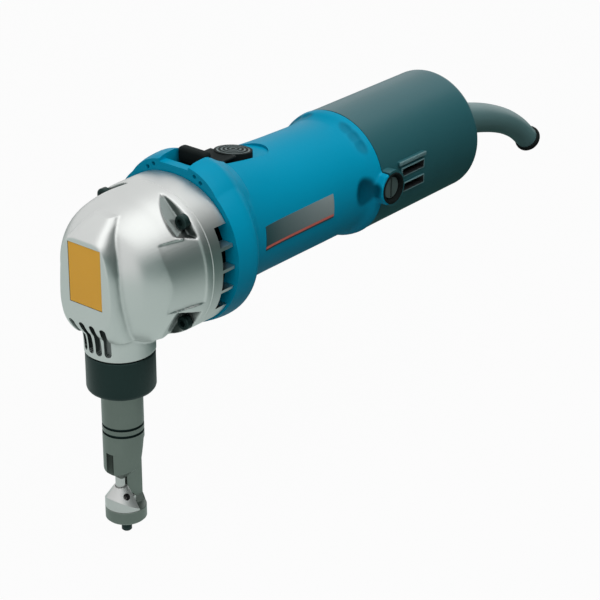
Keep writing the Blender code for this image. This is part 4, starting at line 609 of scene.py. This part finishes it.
# Motor housing: one moulding of glass-filled nylon in teal. It flares into a broad flange behind
# the bearing cover, with two horns beside the switch slot, narrows to the grip and flares again
# at the seam, where it carries the front halves of the brush bosses.
shell = [
    (0.0380, 0.0404, 0.0406, 0.0394), (0.0403, 0.0408, 0.0410, 0.0398), (0.0440, 0.0414, 0.0417, 0.0404),
    (0.0490, 0.0418, 0.0421, 0.0408), (0.0530, 0.0414, 0.0422, 0.0403), (0.0560, 0.0396, 0.0417, 0.0381),
    (0.0590, 0.0366, 0.0406, 0.0345), (0.0620, 0.0340, 0.0393, 0.0320), (0.0660, 0.0322, 0.0378, 0.0308),
    (0.0740, 0.0311, 0.0364, 0.0303), (0.0850, 0.0306, 0.0348, 0.0302), (0.0980, 0.0305, 0.0330, 0.0302),
    (0.1120, 0.0304, 0.0318, 0.0302), (0.1300, 0.0304, 0.0310, 0.0302), (0.1480, 0.0304, 0.0305, 0.0302),
    (0.1530, 0.0313, 0.0312, 0.0311), (0.1565, 0.0330, 0.0330, 0.0330), (0.1602, 0.0336, 0.0336, 0.0336),
    (0.1640, 0.0336, 0.0336, 0.0336)]
saddle = [
    (0.0380, 0.0335, 0.0418, 0.010), (0.0410, 0.0338, 0.0430, 0.010), (0.0450, 0.0340, 0.0440, 0.010),
    (0.0520, 0.0340, 0.0444, 0.010), (0.0550, 0.0335, 0.0436, 0.010), (0.0580, 0.0325, 0.0420, 0.010),
    (0.0610, 0.0310, 0.0402, 0.010), (0.0660, 0.0290, 0.0380, 0.010)]
shell_square, saddle_square = 2.05, 2.6
flange_face, seam_x, brush_x = 0.0403, 0.1599, 0.1635
boss_radius, boss_reach, cap_radius, cap_gap = 0.0095, 0.0375, 0.0070, 0.0003
housing = barrel(eased(shell, 4), shell_square)
bosses = []
for side in (-1, 1):
    low, high = sorted((side * 0.0280, side * boss_reach))
    bosses.append(rod(boss_radius, low, high, (brush_x, 0, motor_z), "Y", 10))
housing = worked(housing, "UNION", barrel(eased(saddle, 4), saddle_square), *bosses)
# A finger hollow before each boss and shallow dents above it, with the strength of the shade painted into
# them
hollow_x, hollow_side, hollow_rise, hollow_shade_strength = 0.1483, 0.0338, 0.0012, 3.2
dent_x, dent_reach, dent_angles, dent_shade_strength = 0.1525, 0.0334, (24, 35, 46), 1.3
hollow_size = Matrix.Diagonal((0.0066, 0.0050, 0.0106, 1))
dent_size = Matrix.Diagonal((0.0040, 0.0075, 0.0021, 1))
scoops = []
for side in (-1, 1):
    middle = Matrix.Translation((hollow_x, side * hollow_side, motor_z + hollow_rise))
    scoops.append((middle @ hollow_size, hollow_shade_strength))
    for angle in dent_angles:
        lean = Matrix.Rotation(math.radians(angle) * -side, 4, "X")
        middle = Matrix.Translation((dent_x, 0, motor_z)) @ lean @ Matrix.Translation((0, 0, dent_reach))
        scoops.append((middle @ dent_size, dent_shade_strength))
balls = []
for shape, strength in scoops:
    ball = bmesh.new()
    bmesh.ops.create_uvsphere(ball, u_segments=32, v_segments=16, radius=1, matrix=shape)
    balls.append(ball)
housing = worked(housing, "DIFFERENCE", *balls)
housing = cast(housing, voxel=0.0006, passes=3)
housing = trimmed(housing, (flange_face, 0, 0), (-1, 0, 0))
housing = trimmed(housing, (seam_x, 0, 0), (1, 0, 0))
recess_half, recess_front, recess_step, recess_rear = 0.0094, 0.0453, 0.0628, 0.1045
sill, shallow_floor, deep_floor = motor_z + 0.0408, motor_z + 0.0358, motor_z + 0.0310
round_x = recess_rear - recess_half
fan_bore, grip_bore, pin_hole = 0.0325, 0.0278, 0.0011
cuts = [block((0, -recess_half, sill), (recess_front + 0.001, recess_half, far * 2)),
        block((recess_front, -recess_half, shallow_floor), (recess_step + 0.001, recess_half, far * 2)),
        block((recess_step, -recess_half, deep_floor), (round_x, recess_half, far * 2)),
        rod(recess_half, deep_floor, far * 2, (round_x, 0, 0), sides=48),
        rod(fan_bore, 0, 0.0570, (0, 0, motor_z), "X", 96),
        rod(grip_bore, 0.0560, 0.1800, (0, 0, motor_z), "X", 96)]
for side in (-1, 1):
    low, high = sorted((side * 0.0250, side * far))
    cuts.append(rod(cap_radius + cap_gap, low, high, (brush_x, 0, motor_z), "Y", 64))
    for across, rise in ((0.0132, 0.0386), (0.0170, 0.0362)):
        cuts.append(rod(pin_hole, 0.0380, 0.0440, (0, side * across, motor_z + rise), "X", 16))
housing = worked(housing, "DIFFERENCE", *cuts)
teal = surface("teal_nylon", (0.0, 0.248, 0.400), 0.40, mottle=0.04, grain=1800.0, broad=25.0,
               depth=0.00003, spread=0.05, specular=0.05)
# Painted shade: the teal darkens in the finger hollows and the dents, by a value kept on each point.
teal_shade_mask = teal.node_tree.nodes.new("ShaderNodeAttribute")
teal_shade_mask.attribute_name = "scoop_shade"
overlaid(teal, (0.0, 0.012, 0.022), teal_shade_mask.outputs["Fac"])
housing_piece = settle(housing, "grip_housing", teal, "housing", "teal_plastic", "motor_housing")
scoop_shade = housing_piece.data.attributes.new("scoop_shade", "FLOAT", "POINT")
scoop_shade_reach, scoop_shade_most = 1.22, 0.92
hollows = [(shape.inverted(), strength) for shape, strength in scoops]
for v in housing_piece.data.vertices:
    depths = [(scoop_shade_reach - (shape @ (v.co - home)).length) * strength for shape, strength in hollows]
    scoop_shade.data[v.index].value = min(max(0, *depths), scoop_shade_most)


def in_front_recess(p, n):
    """The walls of the switch recess before its step, painted black as shade."""
    within = recess_front < p.x < recess_step + 0.0002 and abs(p.y) < recess_half
    return within and 0.0355 < p.z - motor_z < 0.0405


lined(housing_piece, black_and_painted_shade, in_front_recess)


# Switch slide: a black moulding in the slot on top, with an oval thumb pad of fine rings behind
# and a raised stub in front.
pad_middle, pad_half, pad_width = 0.0832, 0.0106, 0.0086
pad_base, pad_rise, pad_crown, pad_slope = 0.0313, 0.0047, 0.0006, 0.150
rings, ring_pitch, ring_flat, ring_wall, ring_deep = 4, 0.22, 0.12, 0.02, 0.0004


def pad_ring(scale, height):
    """An oval step of the thumb pad, which is crowned and falls towards the rear."""
    def place(u, v):
        x, y = pad_half * scale * u, pad_width * scale * v
        bow = pad_crown * (1 - scale ** 2) - pad_slope * x if height else 0
        return Vector((pad_middle + x, y, motor_z + pad_base + height + bow))
    return place


steps = [pad_ring(1, 0), pad_ring(1, pad_rise)]
for index in range(rings):
    outer = 1 - ring_pitch * index
    for inward, height in ((ring_flat, pad_rise), (ring_flat + ring_wall, pad_rise - ring_deep),
                           (ring_pitch - ring_wall, pad_rise - ring_deep), (ring_pitch, pad_rise)):
        steps.append(pad_ring(outer - inward, height))
pad = skin(steps, 72)
tongue_front, tongue_rear, tongue_half = 0.0550, 0.0760, 0.0085
tongue = block((tongue_front, -tongue_half, motor_z + 0.0361),
               (tongue_rear, tongue_half, motor_z + 0.0371), 0.0004)
stub_front, stub_rear, stub_half = 0.0525, 0.0580, 0.0089
stub = block((stub_front, -stub_half, motor_z + 0.0366), (stub_rear, stub_half, motor_z + 0.0448), 0.0016)
knob = worked(pad, "UNION", tongue, stub)
black_plastic = surface("black_nylon", (0.008, 0.011, 0.011), 0.60, mottle=0.12, grain=1500.0,
                        specular=0.04)
knob = settle(knob, "thumb_slide", black_plastic, "switch", "black_plastic", "switch_knob", crease=30)
# Painted highlight: the ring grooves of the thumb pad are a lighter grey.
ring_highlight = surface("painted_ring_highlight", (0.15, 0.185, 0.185), 0.5, mottle=0.12, specular=0.2)


def in_ring(p, n):
    """The grooves of the fine rings in the top of the thumb pad, painted a lighter grey as highlight."""
    on_top = p.z > motor_z + 0.0335 and p.x > pad_middle - pad_half and n.z > 0.2
    inward = 1 - math.hypot((p.x - pad_middle) / pad_half, p.y / pad_width)
    return on_top and inward % ring_pitch > ring_flat


lined(knob, ring_highlight, in_ring)


# Brush caps: slotted screw caps of black plastic in the bosses on the seam, rubbed on their faces.
# Each closes a brush tube, and is unscrewed when the carbon is worn.
cap_face = surface("rubbed_cap_face", (0.065, 0.095, 0.092), 0.38, mottle=0.15, specular=0.4)
face_height, face_radius, driver_half, driver_long = 0.0361, 0.0060, 0.0007, 0.0053
for side, name in ((-1, "left"), (1, "right")):
    cap = turned([(0, 0.0362), (0.0056, 0.0362), (0.0060, 0.0356), (0.0066, 0.0356), (0.0071, 0.0379),
                  (0.0079, 0.0381), (0.0083, 0.0378), (0.0083, 0.0376), (cap_radius, 0.0376),
                  (cap_radius, 0.0323), (0.0039, 0.0323), (0.0039, 0.0247), (0, 0.0247)],
                 (brush_x, 0, motor_z), "Y", 64)
    if side < 0:
        bmesh.ops.scale(cap, verts=cap.verts, vec=(1, -1, 1))
        bmesh.ops.reverse_faces(cap, faces=cap.faces)
    low, high = sorted((side * 0.0349, side * 0.0380))
    slot = block((brush_x - driver_half, low, motor_z - driver_long),
                 (brush_x + driver_half, high, motor_z + driver_long))
    plug = settle(worked(cap, "DIFFERENCE", slot), f"brush_plug_{name}", black_plastic, "housing",
                  "black_plastic", f"brush_cap_{name}")
    lined(plug, cap_face, lambda p, n: abs(p.y) > face_height
          and math.hypot(p.x - brush_x, p.z - motor_z) < face_radius)


# Rear cover: a dark grey moulding over the brushes and the switch, with vents on both sides, a
# raised rib above them and the rear halves of the brush bosses. One screw holds it from below.
rear_front, rear_end, rear_radius, rear_round, rear_wall = 0.1605, 0.2455, 0.0330, 0.0038, 0.0035
guard_bore, round_steps = 0.0083, 8
profile = [(0.0300, rear_front), (0.0336, rear_front), (0.0334, rear_front + 0.008),
           (rear_radius, rear_end - rear_round * 2)]
for step in range(round_steps + 1):
    angle = math.pi / 2 * step / round_steps
    profile.append((rear_radius - rear_round * (1 - math.cos(angle)),
                    rear_end - rear_round * (1 - math.sin(angle))))
profile += [(guard_bore, rear_end), (guard_bore, rear_end - rear_wall), (0.0290, rear_end - rear_wall),
            (0.0301, rear_end - 0.006)]
rear = turned(profile, (0, 0, motor_z), "X", 128)
vent_front, vent_rear, vent_half, vent_lip = 0.1760, 0.1940, 0.0019, 0.0008
lip_reach, rib_reach = 0.0339, 0.0342
extras, cuts = [], []
for side in (-1, 1):
    low, high = sorted((side * 0.0290, side * boss_reach))
    half = rod(boss_radius, low, high, (brush_x, 0, motor_z), "Y", 64)
    extras.append(trimmed(half, (rear_front, 0, 0), (-1, 0, 0)))
    low, high = sorted((side * 0.0315, side * rib_reach))
    extras.append(block((0.1735, low, motor_z + 0.0076), (0.1960, high, motor_z + 0.0098), 0.0005))
    low, high = sorted((side * 0.0250, side * far))
    cuts.append(rod(cap_radius + cap_gap, low, high, (brush_x, 0, motor_z), "Y"))
    for height in (0.0035, -0.0050):
        top, bottom = motor_z + height + vent_half, motor_z + height - vent_half
        low, high = sorted((side * 0.0300, side * lip_reach))
        extras.append(block((vent_front - vent_lip, low, bottom - vent_lip),
                            (vent_rear + vent_lip, high, top + vent_lip), 0.0004))
        low, high = sorted((side * 0.0200, side * far))
        cuts.append(block((vent_front, low, bottom), (vent_rear, high, top)))
screw_x, screw_well = 0.1835, 0.0035
cuts.append(rod(screw_well, 0, motor_z - 0.0313, (screw_x, 0, 0)))
rear = worked(rear, "UNION", *extras)
rear = worked(rear, "DIFFERENCE", *cuts)
grey_plastic = surface("grey_nylon", (0.014, 0.082, 0.095), 0.38, mottle=0.06, grain=1800.0, broad=25.0,
                       depth=0.00003, spread=0.05, specular=0.40)
rear = settle(rear, "motor_cap", grey_plastic, "housing", "grey_plastic", "rear_cover", crease=28)
# Painted highlight: the vent lips and the rib are a paler grey.
rim_highlight = surface("painted_rim_highlight", (0.10, 0.19, 0.20), 0.42, mottle=0.15, specular=0.3)
lined(rear, rim_highlight, lambda p, n: 0.1733 < p.x < 0.1965 and abs(p.z - motor_z) < 0.0105
      and abs(p.y) > 0.0336)
# Painted shade: the walls inside the vents are black.
lined(rear, black_and_painted_shade, lambda p, n: 0.1755 < p.x < 0.1945 and abs(p.z - motor_z) < 0.0072
      and abs(p.y) < 0.0325)
screw = turned([(0, 0.1137), (0.0017, 0.1137), (0.0017, 0.1019), (0.0032, 0.1019), (0.0032, 0.1006),
                (0.0024, 0.1001), (0, 0.1001)], (screw_x, 0, 0), sides=48)
cross_long, cross_half, cross_low, cross_high = 0.0028, 0.0004, 0.0995, 0.1010
bars = []
for along, across in ((cross_long, cross_half), (cross_half, cross_long)):
    bars.append(block((screw_x - along, -across, cross_low), (screw_x + along, across, cross_high)))
screw = worked(screw, "DIFFERENCE", *bars)
settle(screw, "cap_screw", black_oxide, "housing", "black_oxide", "rear_cover_screw")


# Cord guard: a bent sleeve of soft rubber that keeps the mains lead from kinking, moulded with a
# bead round its open end. It leaves the rear cover straight and drops towards the floor.
route = [(0, 0.0000, 0.0092), (0.021, -0.0022, 0.0090), (0.045, -0.0078, 0.0083),
         (0.066, -0.0155, 0.0074), (0.081, -0.0240, 0.0067), (0.0925, -0.0335, 0.0064)]
path = eased(route, 6)
tip, before = path[-1], path[-2]
heading = Vector((tip.x - before.x, 0, tip.y - before.y)).normalized()
bead_steps = ((0.0003, 0.0064), (0.0007, 0.0070), (0.0013, 0.0075), (0.0021, 0.0076), (0.0029, 0.0075),
              (0.0036, 0.0071), (0.0042, 0.0064))
for along, radius in bead_steps:
    path.append(Vector((tip.x + heading.x * along, tip.y + heading.z * along, radius)))


def guard_ring(index):
    """A ring of the guard, square to its path."""
    here = path[index]
    ahead, behind = path[min(index + 1, len(path) - 1)], path[max(index - 1, 0)]
    along = Vector((ahead.x - behind.x, 0, ahead.y - behind.y)).normalized()
    if index == 0:
        along = Vector((1, 0, 0))
    across = Vector((0, 1, 0))
    middle = Vector((rear_end + 0.0003 + here.x, 0, motor_z + here.y))
    return lambda u, v: middle + (across * u + along.cross(across) * v) * here.z


guard = skin([guard_ring(index) for index in range(len(path))], 48)
bead = Vector((rear_end + tip.x, 0, motor_z + tip.y))
mouth_radius, mouth_deep, root_radius = 0.0036, 0.0120, 0.0079
mouth = rod(mouth_radius, -mouth_deep, 0.0200, sides=32)
tilt = Vector((0, 0, 1)).rotation_difference(heading).to_matrix()
bmesh.ops.rotate(mouth, verts=mouth.verts, matrix=tilt)
bmesh.ops.translate(mouth, verts=mouth.verts, vec=bead)
root = rod(root_radius, rear_end - 0.0040, rear_end + 0.0030, (0, 0, motor_z), "X", 48)
guard = worked(guard, "UNION", root)
guard = worked(guard, "DIFFERENCE", mouth)
rubber = surface("guard_rubber", (0.080, 0.160, 0.165), 0.36, mottle=0.10, grain=1400.0, broad=50.0,
                 spread=0.06, specular=0.70)
guard = settle(guard, "bend_sleeve", rubber, "housing", "guard_rubber", "cord_guard", crease=40)
lined(guard, black_plastic, lambda p, n: (p - bead).dot(heading) > 0.0004)


# Nameplates: a bare amber plate let into the front pad, and a bare grey strip with a salmon line
# on each side of the grip. All are thin sheet, stuck on.
plate = block((pad_face + 0.00012, plate_near, plate_low), (pad_face + 0.0004, plate_away, plate_high))
amber = surface("amber_plate", (0.97, 0.49, 0.040), 0.40, mottle=0.05, grain=600.0)
settle(plate, "front_plate", amber, "housing", "aluminium_casting")


def strip_finish():
    """Dark grey with painted light that pales it to the rear, with a salmon line over a dark lower edge.
    """
    made = surface("grey_strip", (0.030, 0.075, 0.080), 0.32, mottle=0.05, specular=0.3)
    nodes, links = made.node_tree.nodes, made.node_tree.links
    place, split = nodes.new("ShaderNodeTexCoord"), nodes.new("ShaderNodeSeparateXYZ")
    links.new(place.outputs["Object"], split.inputs["Vector"])
    bands = (("X", home.x + 0.0730, home.x + 0.1300, (0.27, 0.32, 0.32)),
             ("Z", home.z + 0.1300, home.z + 0.1298, (0.62, 0.13, 0.10)),
             ("Z", home.z + 0.1287, home.z + 0.1285, (0.02, 0.05, 0.055)))
    for axis, start, end, colour in bands:
        band = nodes.new("ShaderNodeMapRange")
        band.inputs["From Min"].default_value = start
        band.inputs["From Max"].default_value = end
        links.new(split.outputs[axis], band.inputs["Value"])
        overlaid(made, colour, band.outputs["Result"])
    return made


strip_grey = strip_finish()
strip_x, strip_long, strip_z, strip_high = 0.0978, 0.0529, 0.1341, 0.0128
strip_lift, strip_thick = 0.0002, 0.0003
for side, name in ((-1, "left"), (1, "right")):
    strip = bmesh.new()
    bmesh.ops.create_grid(strip, x_segments=40, y_segments=14, size=0.5)
    for v in strip.verts:
        x, z = strip_x + v.co.x * strip_long, strip_z + v.co.y * strip_high
        start = home + Vector((x, side * far, z))
        place = housing_piece.ray_cast(start, Vector((0, -side, 0)))[1]
        v.co = place - home + Vector((0, side * strip_lift, 0))
    bmesh.ops.recalc_face_normals(strip, faces=strip.faces)
    bmesh.ops.solidify(strip, geom=strip.faces[:], thickness=strip_thick)
    bmesh.ops.recalc_face_normals(strip, faces=strip.faces)
    settle(strip, f"grip_strip_{name}", strip_grey, "housing", "black_plastic")


# Studio: a pale floor under the tool, a broad lamp high on the right and a weak one on the left,
# cards that only the reflections in the metal see, and the camera of the product picture.
floor_form = bmesh.new()
bmesh.ops.create_grid(floor_form, x_segments=1, y_segments=1, size=6)
floor = as_object(floor_form, "studio_floor")
floor.location = (0, 0, cad_low.z)


def seen_rays(nodes, links):
    """One where a camera, glossy or clear ray looks, and nought where light is gathered."""
    rays = nodes.new("ShaderNodeLightPath")
    seen = rays.outputs["Is Camera Ray"]
    for kind in ("Is Glossy Ray", "Is Transmission Ray"):
        either = nodes.new("ShaderNodeMath")
        either.operation = "MAXIMUM"
        links.new(seen, either.inputs[0])
        links.new(rays.outputs[kind], either.inputs[1])
        seen = either.outputs[0]
    return seen


paper = bpy.data.materials.new("white_paper")
paper.use_nodes = True
nodes, links = paper.node_tree.nodes, paper.node_tree.links
nodes.remove(nodes["Principled BSDF"])
matt, glow = nodes.new("ShaderNodeBsdfDiffuse"), nodes.new("ShaderNodeEmission")
mix, share = nodes.new("ShaderNodeMixShader"), nodes.new("ShaderNodeMath")
matt.inputs["Color"].default_value = (0.22, 0.22, 0.22, 1)
share.operation = "MULTIPLY"
share.inputs[1].default_value = 0.965
links.new(seen_rays(nodes, links), share.inputs[0])
links.new(share.outputs[0], mix.inputs["Fac"])
links.new(matt.outputs[0], mix.inputs[1])
links.new(glow.outputs[0], mix.inputs[2])
links.new(mix.outputs[0], nodes["Material Output"].inputs["Surface"])
floor.data.materials.append(paper)

world = bpy.data.worlds.new("studio")
bpy.context.scene.world = world
world.use_nodes = True
nodes, links = world.node_tree.nodes, world.node_tree.links
sky = nodes["Background"]
level = nodes.new("ShaderNodeMapRange")
level.inputs["To Min"].default_value = 0.205
level.inputs["To Max"].default_value = 1.0
links.new(seen_rays(nodes, links), level.inputs["Value"])
sky.inputs["Color"].default_value = (1, 1, 1, 1)
links.new(level.outputs["Result"], sky.inputs["Strength"])
shade_start, shade_end = home.x + 0.06, home.x + 0.27


def shade_card(name, place, sizes, left, right, turn, axis="X"):
    """A card that only reflections see, shaded from its left to its right."""
    form = bmesh.new()
    bmesh.ops.create_grid(form, x_segments=1, y_segments=1, size=0.5,
                          matrix=Matrix.Diagonal((*sizes, 1, 1)))
    bmesh.ops.rotate(form, verts=form.verts, matrix=Matrix.Rotation(math.radians(turn), 3, axis))
    bmesh.ops.translate(form, verts=form.verts, vec=place)
    card = as_object(form, name)
    card.visible_camera = card.visible_diffuse = card.visible_shadow = card.visible_transmission = False
    felt = bpy.data.materials.new(name)
    felt.use_nodes = True
    nodes, links = felt.node_tree.nodes, felt.node_tree.links
    nodes.remove(nodes["Principled BSDF"])
    shade, glow = nodes.new("ShaderNodeMix"), nodes.new("ShaderNodeEmission")
    spot, split = nodes.new("ShaderNodeTexCoord"), nodes.new("ShaderNodeSeparateXYZ")
    across = nodes.new("ShaderNodeMapRange")
    across.interpolation_type = "SMOOTHSTEP"
    across.inputs["From Min"].default_value = shade_start
    across.inputs["From Max"].default_value = shade_end
    shade.data_type = "RGBA"
    shade.inputs["A"].default_value = (*left, 1)
    shade.inputs["B"].default_value = (*right, 1)
    links.new(spot.outputs["Object"], split.inputs["Vector"])
    links.new(split.outputs["X"], across.inputs["Value"])
    links.new(across.outputs["Result"], shade.inputs["Factor"])
    links.new(shade.outputs["Result"], glow.inputs["Color"])
    links.new(glow.outputs[0], nodes["Material Output"].inputs["Surface"])
    card.data.materials.append(felt)


shade_card("floor_card", (home.x + 0.3, -0.20, cad_low.z + 0.002), (3.0, 2.9),
           (0.63, 0.72, 0.69), (0.035, 0.095, 0.080), 0)
shade_card("side_card", (home.x + 0.5, -1.65, cad_low.z + 0.6), (5.0, 1.2),
           (0.13, 0.21, 0.195), (0.02, 0.055, 0.048), 90)
shade_card("end_card", (home.x + 1.6, -1.40, cad_low.z + 0.9), (1.8, 2.4),
           (0.05, 0.07, 0.065), (0.05, 0.07, 0.065), 90, "Y")
shade_card("sky_card", (home.x + 0.1, -0.30, cad_low.z + 1.50), (2.0, 1.6),
           (1.70, 1.70, 1.69), (1.70, 1.70, 1.69), 0)

aim = home + Vector((0.09, 0, 0.11))
lamps = (("key_lamp", (0.10, -0.40, 1.30), 1.5, 20.3), ("side_lamp", (-1.1, -0.5, 0.5), 1.2, 5.6))
for name, place, size, power in lamps:
    lamp = bpy.data.lights.new(name, "AREA")
    lamp.size = size
    lamp.energy = power
    stand = bpy.data.objects.new(name, lamp)
    stand.location = aim + Vector(place)
    stand.visible_glossy = False
    stand.rotation_euler = Vector(place).to_track_quat("Z", "Y").to_euler()
    bpy.context.scene.collection.objects.link(stand)

lens = bpy.data.cameras.new("product_camera")
lens.lens = 138
lens.sensor_width = 36
camera = bpy.data.objects.new("product_camera", lens)
right, up = Vector((0.6408, -0.7677, 0)), Vector((0.3285, 0.2741, 0.9039))
back = Vector((-0.6939, -0.5792, 0.4278))
stance = Matrix((right, up, back)).transposed().to_4x4()
stance.translation = home + back * 1.1394 + right * 0.0859 + up * 0.1066
camera.matrix_world = stance
bpy.context.scene.collection.objects.link(camera)
bpy.context.scene.camera = camera
bpy.context.scene.view_settings.view_transform = "Standard"
